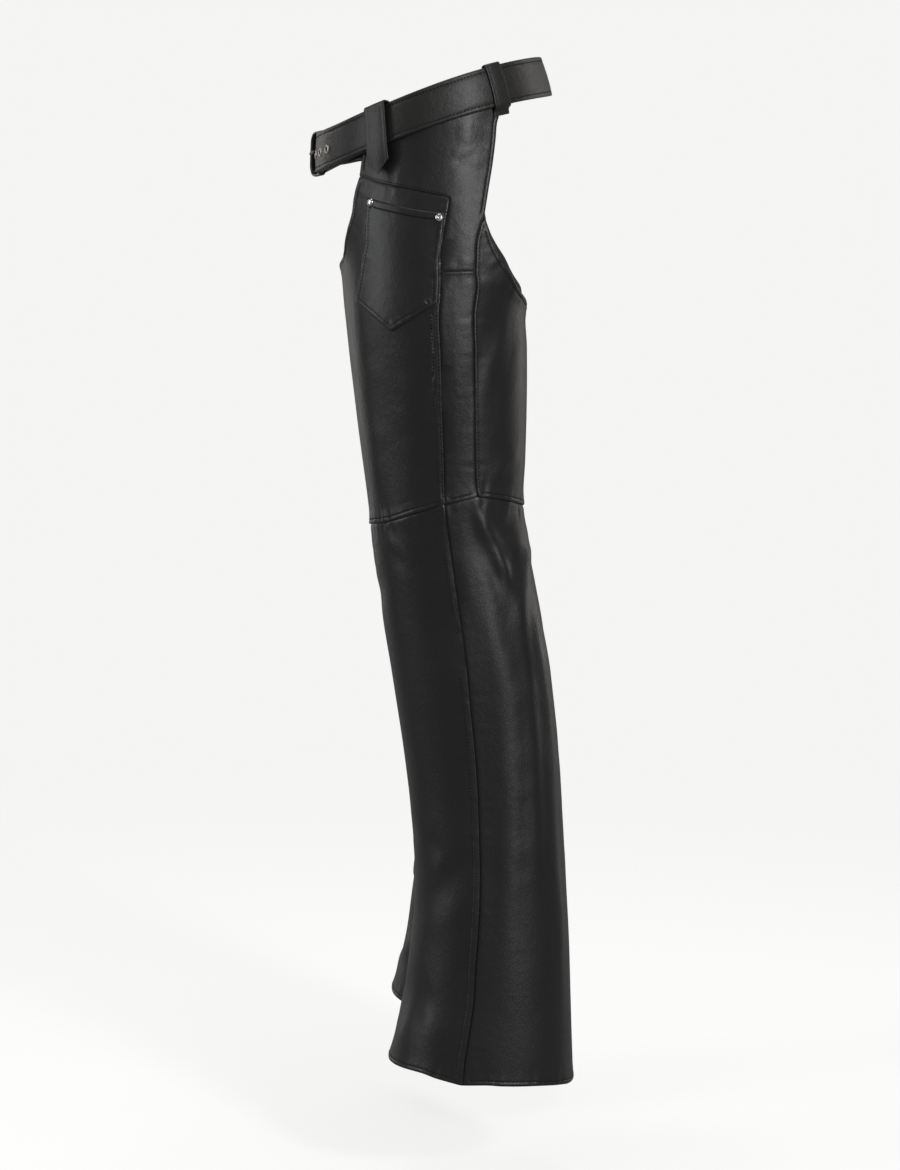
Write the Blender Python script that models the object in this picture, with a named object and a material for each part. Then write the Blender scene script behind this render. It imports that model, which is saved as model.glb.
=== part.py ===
"""Black leather riding chaps with their own belt, hollow and posed as worn.

Metres, +Z up, the wearer faces -Y and their left side is +X. The origin is the
centre of the belt ring at the wearer's waist.

One leg is a surface with two coordinates: theta, the angle round the leg (0 outer
side, 90 back, 180 inseam, -90 front), and z, the height. Every panel is a piece of
that surface between named seam lines. The right leg is the mirror of the left one.
"""

import math

import bmesh
import bpy
import numpy as np
from mathutils import Vector
from mathutils.geometry import delaunay_2d_cdt

MM = 0.001
WALL = 1.8 * MM          # leather of the panels
POCKET_WALL = 1.4 * MM
HIP_RADIUS = 160.0 * MM  # of the worn surface where the front tab meets the yokes
GAP = 0.3 * MM           # between pieces at a seam or one on another
BELT_CLEAR = 0.5 * MM    # between the yoke and the belt
BELT_WALL = 4.0 * MM
BELT_WIDTH = 38.0 * MM
LOOP_WALL = 1.6 * MM
CHART = 0.1              # metres of chart width for one radian round the leg
MESH_ACROSS = 17.0 * MM  # spacing of the mesh points round the leg
MESH_ALONG = 30.0 * MM   # and down it
SECTION_POWER = 2.25     # how square the sections are

# Outside of the worn leather, one row per height.
SECTIONS = (  # z mm, front y, back y, outer x, inner x
    (60, -104, 104, 160, -160),
    (20, -106, 116, 165.5, -165.5),
    (-20, -107, 120, 169.5, -169.5),
    (-60, -108, 122, 175, -175),
    (-100, -104, 119, 184, -120),
    (-145, -90.5, 106, 190, -25),
    (-185, -86.5, 93, 194, 2),
    (-225, -82, 94, 194.5, 8),
    (-285, -74, 93, 192, 20),
    (-335, -67.5, 91.5, 190, 32),
    (-385, -61.5, 90.2, 188, 40),
    (-410, -59.5, 94.5, 187, 42),
    (-450, -54.8, 99.7, 188, 44),
    (-490, -48.7, 107.5, 189, 46),
    (-540, -40.3, 117, 190, 48),
    (-585, -33.7, 122.5, 190, 48),
    (-640, -26.3, 128, 191, 50),
    (-700, -20.5, 131.7, 193, 50),
    (-745, -17.5, 134, 196, 50),
    (-785, -18.3, 136.2, 199, 49),
    (-830, -22.8, 138.5, 203, 48),
    (-880, -29.8, 139.8, 207, 46),
    (-925, -40.5, 140.7, 211, 45),
    (-965, -52, 141.5, 214, 44),
)

# Largest folds. Turn 0 runs down the leg, 90 runs round it; a depth below 0 is a trough.
FOLDS = (  # theta deg, z mm, half length, half width, turn deg, depth mm
    (33, -420, 55, 12, -20, 2.6),
    (52, -395, 45, 11, 62, -2.4),
    (60, -452, 60, 14, 40, 2.0),
    (41, -600, 150, 15, 6, 2.4),
    (64, -640, 120, 20, -5, -1.8),
    (-38, -748, 62, 15, 62, -2.2),
    (-30, -780, 60, 16, 70, 1.5),
    (150, -430, 60, 14, 60, -2.2),
    (-140, -760, 55, 15, 70, -2.4),
    (20, -250, 70, 13, 30, -1.2),
    (120, -300, 70, 16, 35, -1.8),
    (-95, -470, 60, 15, 75, -1.6),
)

# Seam lines as seen from the side: y mm, z mm, on the outer half of the leg.
YOKE_FRONT = ((-61, -4), (-64.5, -25), (-66.9, -40), (-69.2, -57.3))
YOKE_REAR = ((78, 43), (74, 25), (64.6, -2), (62.1, -21.8), (59.2, -45), (55, -70), (51.1, -93.7))
YOKE_SEAM = ((-69.2, -57.3), (-49.2, -63.6), (-25.9, -68), (-1, -73), (17.4, -77.5))
YOKE_SIDE = ((17.4, -77.5), (15.1, -94.1), (11.3, -115.8), (9.4, -128), (9.0, -147))
YOKE_BACK = ((51.1, -93.7), (43.8, -117.1), (42.4, -146))
STRIP_TOP = ((9.0, -147), (42.4, -146))
OUTSEAM_UPPER = ((9.0, -147), (8.5, -173.5), (9, -220), (10.3, -269), (12, -320), (13.4, -370.7))
OUTSEAM_LOWER = (
    (13.4, -370.7), (17.5, -408.4), (23.8, -453), (30.6, -501.5), (37, -560), (41.8, -607.9),
    (45.3, -655.2), (47.3, -717.8), (47.3, -756.8), (43.5, -821.3), (41.5, -858.1),
    (37.6, -887.2), (32.5, -920), (30.8, -943.9),
)
REAR_SEAM = ((42.4, -146), (42.2, -174), (41.7, -245), (42.1, -308.9), (43.1, -345), (45.1, -363.7))
KNEE_FRONT = ((-59.5, -397), (-45, -391), (-30.9, -385.7), (-8, -377.5), (13.4, -370.7))
KNEE_SIDE = ((13.4, -370.7), (45.1, -363.7))
KNEE_BACK = ((45.1, -363.7), (66.7, -367.8), (82, -373.5), (89, -378.5))
HEM_FRONT = ((-44.5, -938), (-17.7, -935.2), (5, -939), (30.8, -943.9))
HEM_BACK = ((30.8, -943.9), (54.4, -943.6), (69.2, -944.9), (105.2, -948.1), (127.8, -953.2), (137, -957))
EDGE_FRONT = ((-69.2, -57.3), (-74.4, -75.6), (-77.6, -96), (-83.6, -118.9), (-86.7, -136))
EDGE_BACK = ((51.1, -93.7), (54.4, -104.6), (63.1, -127.3), (75.4, -147.5), (86.1, -167.5))

# Their continuations round the inner half of the leg: theta deg, z mm.
EDGE_FRONT_INNER = ((-95, -150), (-122, -175), (-150, -201), (-180, -225))
EDGE_BACK_INNER = ((95, -187), (122, -203), (150, -217), (180, -225))
KNEE_FRONT_INNER = ((-180, -401), (-150, -403), (-120, -403), (-92, -399.5))
KNEE_BACK_INNER = ((92, -381), (120, -389), (150, -397), (180, -401))
HEM_FRONT_INNER = ((-180, -949), (-150, -945), (-120, -941.5), (-92, -938.5))
HEM_BACK_INNER = ((92, -958), (120, -956), (150, -952), (180, -949))

POCKET = (  # y mm, z mm: flared patch, its mouth along the first row
    (-60.5, -77.5), (-48, -81), (-36.5, -83.5), (-20.2, -87.2), (0.9, -90.4), (12.6, -91.5),
    (9.7, -117), (7.3, -132), (7.0, -147), (6.4, -176), (0.4, -179.5), (-18, -191),
    (-38.1, -204.3), (-56, -190), (-72.3, -176.7), (-69.6, -159), (-66, -135.6), (-63, -117.3),
)
POCKET_RIVETS = ((-56.6, -82.5), (7.6, -96.2))  # y mm, z mm

BELT_RISE = (9.0, 41.2, -12.1)  # mm: belt centre height over y, in powers of y / BELT_REACH
BELT_REACH = 117.0 * MM
BELT_STEPS = 80
YOKE_TOP = 12.0 * MM     # yoke edge above the belt's centre line, hidden behind it
YOKE_TOP_STEPS = 10
TAB_STEPS = (3, 8)       # mesh steps of the tab, up it and out to each yoke
TAB_LOW = (-24.0 * MM, -6.0 * MM)  # lower edge of the front tab at the yokes and midway
BUCKLE_AT = 55.0 * MM    # buckle to the left of the middle of the front, along the belt
EYELETS = (44.5, 26.0, 7.5, -11.0, -29.5)  # mm along the belt from the buckle, the third in use
EYELET_RADIUS = 4.6 * MM
EYELET_BORE = 2.4 * MM
RIVET_RADIUS = 3.8 * MM

# Middle of the strap: mm along the ring from the buckle, mm out from the panels, wall mm.
STRAP_START = (
    (38, 5.9, 2.0), (30, 5.9, 2.0), (22, 5.95, 2.0), (15, 6.3, 2.0), (10, 6.5, 2.0),
    (7.0, 5.8, 2.0), (5.7, 4.1, 2.0), (7.0, 2.4, 2.0), (10, 1.6, 2.0), (18, 1.6, 2.0),
)
STRAP_TAIL = (  # the same, after one turn round the waist
    (-36, 2.5, 4.0), (-24, 3.0, 4.0), (-17, 4.3, 4.0), (-9, 6.9, 4.0), (-1, 9.2, 4.0),
    (7, 9.9, 4.0), (16, 9.8, 4.0), (26, 9.5, 4.0), (38, 9.2, 4.0), (49, 8.2, 4.0),
)
RING_START = 30.0        # mm from the buckle: the even rows of the ring run from here
RING_STOP = 45.0         # to this far short of the buckle
TAIL_SETTLED = 62.0      # mm from the buckle, from where the tail lies on the ring
TAIL_END = 117.0
TAIL_LEVEL = 6.8         # mm: middle of the tail where it lies on the ring

# Loops: y mm of the middle at the top and the bottom, width, lower end and point below it.
LOOP_CLEAR = 0.6         # mm between a loop and the strap under it
LOOPS = {
    "loop_front": (-49.0, -46.0, 17.5, -35.5, -46.5),
    "loop_back": (62.4, 67.0, 14.5, -28.0, -28.0),
}

BUCKLE_BAR = 1.1 * MM    # half thickness of the heel bar
BUCKLE_DEEP = 2.4 * MM   # half thickness of the rails and the tip bar
BUCKLE_FACE = 2.7 * MM   # half width of the tip bar
BUCKLE_RAIL = 1.35 * MM   # half width of the rails
BUCKLE_SIDE = 20.7 * MM  # middle of the side rails above and below the belt's centre
BUCKLE_CORNERS = ((1.6 * MM, 0.4 * MM), (5.4 * MM, 1.5 * MM))  # length and cut at the heel and the tip bar
BUCKLE_FRAME = (  # mm along the ring, mm out: one side rail from the heel bar to the tip bar
    (10.0, 4.1), (2, 6.8), (-8, 9.4), (-17, 11.4), (-24.5, 12.4),
)
PRONG_WIDE = 1.7 * MM    # half width of the prong
PRONG_DEEP = 1.0 * MM    # and half thickness
PRONG = ((7.4, 13.5), (5.2, 14.2), (3.2, 15.0), (-3, 15.6), (-10, 15.9), (-18, 15.9), (-24.6, 15.9))


def clear_scene():
    for thing in list(bpy.data.objects):
        bpy.data.objects.remove(thing, do_unlink=True)


def material(name, colour, metallic, roughness):
    made = bpy.data.materials.new(name)
    made.use_nodes = True
    shader = made.node_tree.nodes["Principled BSDF"]
    shader.inputs["Base Color"].default_value = (*colour, 1.0)
    shader.inputs["Metallic"].default_value = metallic
    shader.inputs["Roughness"].default_value = roughness
    return made


def smooth_columns(rows):
    """Cubic through the rows: a function from the first column to the others."""
    table = np.array(sorted(rows), dtype=float)
    keys, values = table[:, 0], table[:, 1:]
    slopes = np.gradient(values, keys, axis=0)

    def at(key):
        key = min(max(key, keys[0]), keys[-1])
        i = min(int(np.searchsorted(keys, key, side="right")) - 1, len(keys) - 2)
        span = keys[i + 1] - keys[i]
        t = (key - keys[i]) / span
        return (
            values[i] * (2 * t**3 - 3 * t**2 + 1) + slopes[i] * span * (t**3 - 2 * t**2 + t)
            + values[i + 1] * (3 * t**2 - 2 * t**3) + slopes[i + 1] * span * (t**3 - t**2)
        )

    return at


section_at = smooth_columns(SECTIONS)


def signed_power(value, power):
    return math.copysign(abs(value) ** power, value)


def section(z, waist):
    """Centre and half widths of the section at height z; the waist one spans both sides."""
    front, back, outer, inner = section_at(z / MM) * MM
    if waist:
        inner = -outer
    return (outer + inner) / 2, (front + back) / 2, (outer - inner) / 2, (back - front) / 2


def fold_height(theta, z):
    """How far the folds lift the leather at one place."""
    total = 0.0
    for centre, height, half_length, half_width, turn, depth in FOLDS:
        round_leg = (theta - math.radians(centre) + math.pi) % (2 * math.pi) - math.pi
        across, down = round_leg * CHART, z - height * MM
        c, s = math.cos(math.radians(turn)), math.sin(math.radians(turn))
        a = (across * c - down * s) / (half_width * MM)
        b = (across * s + down * c) / (half_length * MM)
        total += depth * MM * math.exp(-a * a - b**4)
    return total


def bare_point(theta, z, waist):
    cx, cy, ax, ay = section(z, waist)
    power = 2 / SECTION_POWER
    x = cx + ax * signed_power(math.cos(theta), power)
    return Vector((x, cy + ay * signed_power(math.sin(theta), power), z))


def bare_normal(theta, z, waist):
    step = 0.02
    along = bare_point(theta + step, z, waist) - bare_point(theta - step, z, waist)
    down = bare_point(theta, z + 4 * MM, waist) - bare_point(theta, z - 4 * MM, waist)
    return along.cross(down).normalized()


def skin(theta, z, out=0.0, waist=False):
    """Point of the worn surface, moved out along its normal."""
    lift = 0.0 if waist else fold_height(theta, z)
    return bare_point(theta, z, waist) + bare_normal(theta, z, waist) * (out + lift)


def theta_at(y, z, waist=False):
    """Angle of the outer half where the surface has this y."""
    cy, ay = section(z, waist)[1::2]
    ratio = min(max((y - cy) / ay, -1.0), 1.0)
    return math.asin(signed_power(ratio, SECTION_POWER / 2))


def belt_height(theta):
    """Height of the belt's centre line."""
    y = bare_point(theta, 0.0, True).y / BELT_REACH
    return (BELT_RISE[0] + BELT_RISE[1] * y + BELT_RISE[2] * y * y) * MM


def smooth_path(points, step):
    """Points spread evenly, about step apart, on a soft curve through the given ones."""
    points = [Vector(p) for p in points]
    if len(points) == 2:
        points.insert(1, (points[0] + points[1]) / 2)
    padded = [2 * points[0] - points[1], *points, 2 * points[-1] - points[-2]]
    fine = []
    for a, b, c, d in zip(padded, padded[1:], padded[2:], padded[3:]):
        for k in range(8):
            t = k / 8
            fine.append(
                0.5 * (2 * b + (c - a) * t + (2 * a - 5 * b + 4 * c - d) * t * t
                       + (3 * b - a - 3 * c + d) * t**3)
            )
    fine.append(points[-1])
    reach = np.cumsum([0.0] + [(q - p).length for p, q in zip(fine, fine[1:])])
    count = max(1, round(reach[-1] / step))
    wanted = np.linspace(0.0, reach[-1], count + 1)
    columns = [np.interp(wanted, reach, [p[i] for p in fine]) for i in range(len(points[0]))]
    return [Vector(row) for row in zip(*columns)]


def chart_line(side=(), before=(), after=(), step=20 * MM):
    """Seam line in the chart: inner rows, then rows seen from the side, then inner rows."""
    def inner(rows):
        return [(math.radians(t) * CHART, z * MM) for t, z in rows]

    seen = [(theta_at(y * MM, z * MM) * CHART, z * MM) for y, z in side]
    return smooth_path([*inner(before), *seen, *inner(after)], step)


def seam_lines():
    """All seam lines of one leg, by name, in the chart."""
    lines = {
        "yoke_front": chart_line(YOKE_FRONT),
        "yoke_rear": chart_line(YOKE_REAR),
        "yoke_seam": chart_line(YOKE_SEAM),
        "yoke_side": chart_line(YOKE_SIDE),
        "yoke_back": chart_line(YOKE_BACK),
        "strip_top": chart_line(STRIP_TOP),
        "outseam_upper": chart_line(OUTSEAM_UPPER, step=MESH_ALONG),
        "outseam_lower": chart_line(OUTSEAM_LOWER, step=MESH_ALONG),
        "rear_seam": chart_line(REAR_SEAM, step=MESH_ALONG),
        "knee_front": chart_line(KNEE_FRONT, before=KNEE_FRONT_INNER),
        "knee_side": chart_line(KNEE_SIDE),
        "knee_back": chart_line(KNEE_BACK, after=KNEE_BACK_INNER),
        "hem_front": chart_line(HEM_FRONT, before=HEM_FRONT_INNER),
        "hem_back": chart_line(HEM_BACK, after=HEM_BACK_INNER),
        "edge_front": chart_line(EDGE_FRONT, after=EDGE_FRONT_INNER),
        "edge_back": chart_line(EDGE_BACK, after=EDGE_BACK_INNER),
    }
    crotch, knee, hem = EDGE_FRONT_INNER[-1][1], KNEE_FRONT_INNER[0][1], HEM_FRONT_INNER[0][1]
    for side, angle in (("front", -180), ("back", 180)):
        lines["inseam_upper_" + side] = chart_line(
            before=((angle, crotch), (angle, knee)), step=MESH_ALONG)
        lines["inseam_lower_" + side] = chart_line(
            before=((angle, knee), (angle, hem)), step=MESH_ALONG)
    first, last = lines["yoke_front"][0], lines["yoke_rear"][0]
    between = [first.lerp(last, k / YOKE_TOP_STEPS).x for k in range(1, YOKE_TOP_STEPS)]
    top = [Vector((u, belt_height(u / CHART) + YOKE_TOP)) for u in between]
    lines["yoke_top"] = [first, *top, last]
    outline = [(theta_at(y * MM, z * MM) * CHART, z * MM) for y, z in POCKET]
    lines["pocket"] = [Vector(p) for p in outline]
    return lines


# Panels: their seam lines in order, a minus sign where one is walked backwards.
PANELS = {
    "yoke": ("yoke_top", "yoke_rear", "yoke_back", "-strip_top", "-yoke_side", "-yoke_seam", "-yoke_front"),
    "thigh_front": (
        "yoke_seam", "yoke_side", "outseam_upper", "-knee_front", "-inseam_upper_front", "-edge_front",
    ),
    "side_strip": ("strip_top", "rear_seam", "-knee_side", "-outseam_upper"),
    "thigh_back": ("yoke_back", "rear_seam", "knee_back", "-inseam_upper_back", "-edge_back"),
    "shin_front": ("knee_front", "outseam_lower", "-hem_front", "-inseam_lower_front"),
    "calf_back": ("knee_side", "knee_back", "inseam_lower_back", "-hem_back", "-outseam_lower"),
    "pocket": ("pocket",),
}


def walk(lines, names):
    loop = []
    for name in names:
        line = lines[name.lstrip("-")]
        line = line[::-1] if name.startswith("-") else line
        loop.extend(line if not loop else line[1:])
    if (loop[0] - loop[-1]).length < 1e-9:
        loop.pop()
    return loop


def inside(point, loop):
    found = False
    for a, b in zip(loop, loop[1:] + loop[:1]):
        if (a.y > point.y) != (b.y > point.y):
            if point.x < a.x + (point.y - a.y) * (b.x - a.x) / (b.y - a.y):
                found = not found
    return found


def distance_to(point, a, b):
    along = b - a
    t = min(max((point - a).dot(along) / along.length_squared, 0.0), 1.0)
    return (point - a - along * t).length


def triangulate(lines):
    """One mesh of the whole chart with every seam line in it."""
    points, edges, segments, known = [], [], [], {}
    for name, line in lines.items():
        ring = line + line[:1] if name == "pocket" else line
        for a, b in zip(ring, ring[1:]):
            ends = []
            for p in (a, b):
                key = (round(p.x / 1e-6), round(p.y / 1e-6))
                if key not in known:
                    known[key] = len(points)
                    points.append(p)
                ends.append(known[key])
            edges.append(ends)
            segments.append((a, b))
    columns = int(2 * math.pi * CHART / MESH_ACROSS)
    top, low = (pick(p.y for line in lines.values() for p in line) for pick in (max, min))
    for row, z in enumerate(np.arange(top, low, -MESH_ALONG)):
        for column in range(columns):
            u = -math.pi * CHART + (column + 0.5 + 0.5 * (row % 2)) * MESH_ACROSS
            p = Vector((u, float(z)))
            if all(distance_to(p, a, b) > 0.5 * MESH_ACROSS for a, b in segments):
                points.append(p)
    made = delaunay_2d_cdt(points, edges, [], 0, 1e-7)
    return made[0], [tuple(face) for face in made[2]]


def borders(faces):
    """Directed outer edges of a set of faces."""
    directed = {(a, b) for face in faces for a, b in zip(face, face[1:] + face[:1])}
    return [(a, b) for a, b in directed if (b, a) not in directed]


def shrink(points, normals, edges, amount):
    """Move border points into their piece by amount, in the surface."""
    pull = {}
    for a, b in edges:
        along = (points[b] - points[a]).normalized()
        for end in (a, b):
            pull.setdefault(end, []).append(normals[end].cross(along).normalized())
    for index, inward in pull.items():
        total = sum(inward, Vector())
        total.normalize()
        stretch = max(0.35, total.dot(inward[0]))
        points[index] += total * (amount / stretch)


def closed_mesh(outer, inner, faces):
    """Vertices and faces of a wall between two sheets of the same faces."""
    count = len(outer)
    solid = [tuple(face) for face in faces]
    solid += [tuple(count + i for i in reversed(face)) for face in faces]
    for a, b in borders(faces):
        solid.append((b, a, count + a, count + b))
    return [*outer, *inner], solid


def add_part(name, vertices, faces, look, mirrored=False):
    mesh = bmesh.new()
    for point in vertices:
        mesh.verts.new((-point.x, point.y, point.z) if mirrored else point)
    mesh.verts.ensure_lookup_table()
    for face in faces:
        mesh.faces.new([mesh.verts[i] for i in face])
    bmesh.ops.triangulate(mesh, faces=mesh.faces[:], quad_method="FIXED")
    bmesh.ops.recalc_face_normals(mesh, faces=mesh.faces[:])
    if mesh.calc_volume(signed=True) < 0:
        bmesh.ops.reverse_faces(mesh, faces=mesh.faces[:])
    data = bpy.data.meshes.new(name)
    mesh.to_mesh(data)
    mesh.free()
    data.materials.append(look)
    part = bpy.data.objects.new(name, data)
    bpy.context.scene.collection.objects.link(part)
    return part


def add_both(name, vertices, faces, look):
    add_part("left_" + name, vertices, faces, look)
    add_part("right_" + name, vertices, faces, look, mirrored=True)


def panel_sheets(chart, faces, inner_out, outer_out):
    """Inner and outer sheet of a panel and its faces, turned to face outwards."""
    used = sorted({i for face in faces for i in face})
    place = {old: new for new, old in enumerate(used)}
    flat = [chart[i] for i in used]
    turned = []
    for face in faces:
        a, b, c = (flat[place[i]] for i in face)
        order = face if (b - a).cross(c - a) > 0 else face[::-1]
        turned.append(tuple(place[i] for i in order))
    points = [skin(p.x / CHART, p.y) for p in flat]
    normals = [bare_normal(p.x / CHART, p.y, False) for p in flat]
    shrink(points, normals, borders(turned), GAP / 2)
    outer = [p + n * outer_out for p, n in zip(points, normals)]
    inner = [p + n * inner_out for p, n in zip(points, normals)]
    return outer, inner, turned


def build_panels(look):
    lines = seam_lines()
    chart, faces = triangulate(lines)
    for name, names in PANELS.items():
        loop = walk(lines, names)
        mine = [f for f in faces if inside((chart[f[0]] + chart[f[1]] + chart[f[2]]) / 3, loop)]
        if name == "pocket":
            levels = (GAP, GAP + POCKET_WALL)
        else:
            levels = (-WALL, 0.0)
        outer, inner, turned = panel_sheets(chart, mine, *levels)
        add_both(name, *closed_mesh(outer, inner, turned), look)


def grid_faces(rows, columns, ring=False):
    faces = []
    for i in range(rows if ring else rows - 1):
        for j in range(columns - 1):
            a, b = i * columns + j, ((i + 1) % rows) * columns + j
            faces.append((a, b, b + 1, a + 1))
    return faces


def belt_line():
    """Angle round the waist over distance along the belt, from the buckle to the left."""
    angles = np.linspace(-math.pi / 2, 1.5 * math.pi, 721)
    spots = [skin(t, belt_height(t), BELT_CLEAR, True) for t in angles]
    reach = np.cumsum([0.0] + [(q - p).length for p, q in zip(spots, spots[1:])])
    return angles, reach


BELT_ANGLES, BELT_REACHED = belt_line()
BELT_LENGTH = float(BELT_REACHED[-1])


def belt_point(along, across, out):
    """Point of the belt: along it, up from its centre line and out from the panels."""
    theta = float(np.interp((along + BUCKLE_AT) % BELT_LENGTH, BELT_REACHED, BELT_ANGLES))
    return skin(theta, belt_height(theta) + across, out, True)


def thick_path(rows):
    """Both sides of a path of (along, out, wall) rows, as (along, out) pairs."""
    sides = ([], [])
    for i, (along, out, wall) in enumerate(rows):
        before, after = rows[max(i - 1, 0)], rows[min(i + 1, len(rows) - 1)]
        tangent = Vector((after[0] - before[0], after[1] - before[1])).normalized()
        for side, sign in zip(sides, (1, -1)):
            side.append((along - tangent.y * sign * wall / 2, out + tangent.x * sign * wall / 2))
    return sides


def strap_rows():
    """Middle line of the whole strap, from its turned end to the tip of the tail."""
    step = BELT_LENGTH / BELT_STEPS
    ring_level = (BELT_CLEAR + BELT_WALL / 2) / MM
    rows = [tuple(row) for row in STRAP_START]
    turn = BELT_LENGTH / MM
    for k in range(math.ceil(RING_START * MM / step), BELT_STEPS):
        along = k * step / MM
        if along < turn - RING_STOP:
            rows.append((along, ring_level, BELT_WALL / MM))
    rows += [(turn + along, out, wall) for along, out, wall in STRAP_TAIL]
    k = math.ceil(TAIL_SETTLED * MM / step)
    while (k + 0.3) * step / MM < TAIL_END:
        rows.append((turn + k * step / MM, TAIL_LEVEL, BELT_WALL / MM))
        k += 1
    rows.append((turn + TAIL_END, TAIL_LEVEL, BELT_WALL / MM))
    return [(a * MM, o * MM, w * MM) for a, o, w in rows]


def build_belt(look):
    lift, drop = thick_path(strap_rows())
    across = (BELT_WIDTH / 2, 0.0, -BELT_WIDTH / 2)
    upper = [belt_point(along, w, out) for along, out in lift for w in across]
    lower = [belt_point(along, w, out) for along, out in drop for w in across]
    faces = grid_faces(len(lift), len(across))
    add_part("belt_strap", *closed_mesh(upper, lower, faces), look)


def loop_profile(level, low):
    """Middle of a belt loop: mm above the belt's centre, mm out, from behind the belt."""
    rows = [(YOKE_TOP / MM + 0.4, -0.9), (17, -0.9), (19.6, -0.6), (20.6, 0.7), (20.8, level - 1.6),
            (20.2, level - 0.4), (18.6, level), (9, level), (-2, level), (-12, level), (-17.5, level)]
    if low < -30:
        rows += [(-22, level - 0.3), (-27, level - 0.9), (-31, level - 1.6), (low, level - 2.2)]
    else:
        rows += [(-19.8, level - 0.5), (-21.2, max(level - 2.6, 2.4)), (-23.2, 1.5), (low, 1.1)]
    return [(w * MM, out * MM, LOOP_WALL) for w, out in rows]


def build_loops(look):
    for name, (y_top, y_low, width, low, tip) in LOOPS.items():
        for side in ("left", "right"):
            tail = side == "left" and name == "loop_front"
            ring_top = (BELT_CLEAR + BELT_WALL) / MM
            level = (TAIL_LEVEL + BELT_WALL / MM / 2 if tail else ring_top) + LOOP_CLEAR + LOOP_WALL / MM / 2
            sheets = []
            for pairs in thick_path(loop_profile(level, low)):
                spots = []
                for index, (w, out) in enumerate(pairs):
                    mix = min(max((20 * MM - w) / (20 * MM - low * MM), 0.0), 1.0)
                    for part in (-0.5, -0.25, 0, 0.25, 0.5):
                        y = (y_top + (y_low - y_top) * mix + part * width) * MM
                        extra = (tip - low) * MM * (1 - 2 * abs(part)) if index == len(pairs) - 1 else 0
                        theta = theta_at(y, 0.0, True)
                        spots.append(skin(theta, belt_height(theta) + w + extra, out, True))
                sheets.append(spots)
            faces = grid_faces(len(pairs), 5)
            vertices, solid = closed_mesh(sheets[0], sheets[1], faces)
            add_part(f"{side}_{name}", vertices, solid, look, mirrored=side == "right")


def build_tab(look):
    """Front tab that joins the two yokes behind the belt."""
    edge = [(p.x / CHART, p.y) for p in chart_line(YOKE_FRONT, step=4 * MM)]
    heights = [z for _, z in edge][::-1]
    angles = [t for t, _ in edge][::-1]
    rows, half = TAB_STEPS[0] + 1, TAB_STEPS[1]
    halves = []
    for level in (0.0, -WALL):
        spots = []
        for share in np.linspace(0.0, 1.0, rows):
            lift, lift_midway = (low + (YOKE_TOP - low) * share for low in TAB_LOW)
            theta = angles[-1]
            for _ in range(12):
                theta = float(np.interp(belt_height(theta) + lift, heights, angles))
            theta -= 1.3 * GAP / HIP_RADIUS
            row = []
            for k in range(half + 1):
                t = theta + (-math.pi / 2 - theta) * k / half
                row.append(skin(t, belt_height(t) + lift + (lift_midway - lift) * k / half, level, True))
            row += [Vector((-p.x, p.y, p.z)) for p in row[-2::-1]]
            spots.append(row)
        halves.append([p for row in spots for p in row])
    faces = grid_faces(rows, 2 * half + 1)
    add_part("front_tab", *closed_mesh(halves[0], halves[1], faces), look)


def frame_at(along, across, out):
    """Directions on the belt: along it, up it and out of it, with the point."""
    here = belt_point(along, across, out)
    up = (belt_point(along, across + MM, out) - here).normalized()
    away = (belt_point(along, across, out + MM) - here).normalized()
    return here, up.cross(away).normalized(), up, away


def tube(path, half_widths, half_depths, sides, closed):
    """Round bar along belt places (along, across, out), with its half sizes at each."""
    spots = [belt_point(*p) for p in path]
    vertices, count = [], len(spots)
    for i, spot in enumerate(spots):
        ahead = spots[(i + 1) % count] if closed else spots[min(i + 1, count - 1)]
        behind = spots[i - 1] if closed or i else spots[0]
        tangent = (ahead - behind).normalized()
        away = frame_at(*path[i])[3]
        side = tangent.cross(away).normalized()
        away = side.cross(tangent)
        for k in range(sides):
            turn = 2 * math.pi * (k + 0.5) / sides
            vertices.append(
                spot + side * (half_widths[i] * math.cos(turn)) + away * (half_depths[i] * math.sin(turn)))
    faces = []
    for i in range(count if closed else count - 1):
        for k in range(sides):
            a, b = i * sides, ((i + 1) % count) * sides
            faces.append((a + k, a + (k + 1) % sides, b + (k + 1) % sides, b + k))
    if not closed:
        faces += [tuple(range(sides))[::-1], tuple((count - 1) * sides + k for k in range(sides))]
    return vertices, faces


def build_buckle(look):
    rail = [(a * MM, o * MM) for a, o in BUCKLE_FRAME]
    heel, tip = rail[0], rail[-1]
    side = BUCKLE_SIDE
    (heel_corner, heel_cut), (tip_corner, tip_cut) = BUCKLE_CORNERS
    upper = [(heel[0] + 0.4 * MM, w, heel[1]) for w in np.linspace(0, side - heel_corner, 4)]
    sizes = [(BUCKLE_BAR, BUCKLE_BAR)] * len(upper)
    upper.append((heel[0] - 0.6 * MM, side - heel_cut, heel[1] + 0.3 * MM))
    upper += [(a, side, o) for a, o in rail[1:-1]]
    sizes += [(BUCKLE_RAIL, BUCKLE_DEEP)] * (len(upper) - len(sizes))
    upper.append((tip[0] + tip_cut, side - tip_cut, tip[1] + 0.1 * MM))
    upper += [(tip[0], w, tip[1]) for w in np.linspace(side - tip_corner, 0, 4)]
    sizes += [(BUCKLE_FACE, BUCKLE_DEEP)] * (len(upper) - len(sizes))
    lower = [(a, -w, o) for a, w, o in upper[-2:0:-1]]
    sizes += sizes[-2:0:-1]
    add_part("buckle_frame", *tube(upper + lower, *zip(*sizes), 12, True), look)
    prong = [(a * MM, 0.0, o * MM) for a, o in PRONG]
    wide, deep = ([half] * len(prong) for half in (PRONG_WIDE, PRONG_DEEP))
    add_part("buckle_prong", *tube(prong, wide, deep, 8, False), look)


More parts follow.
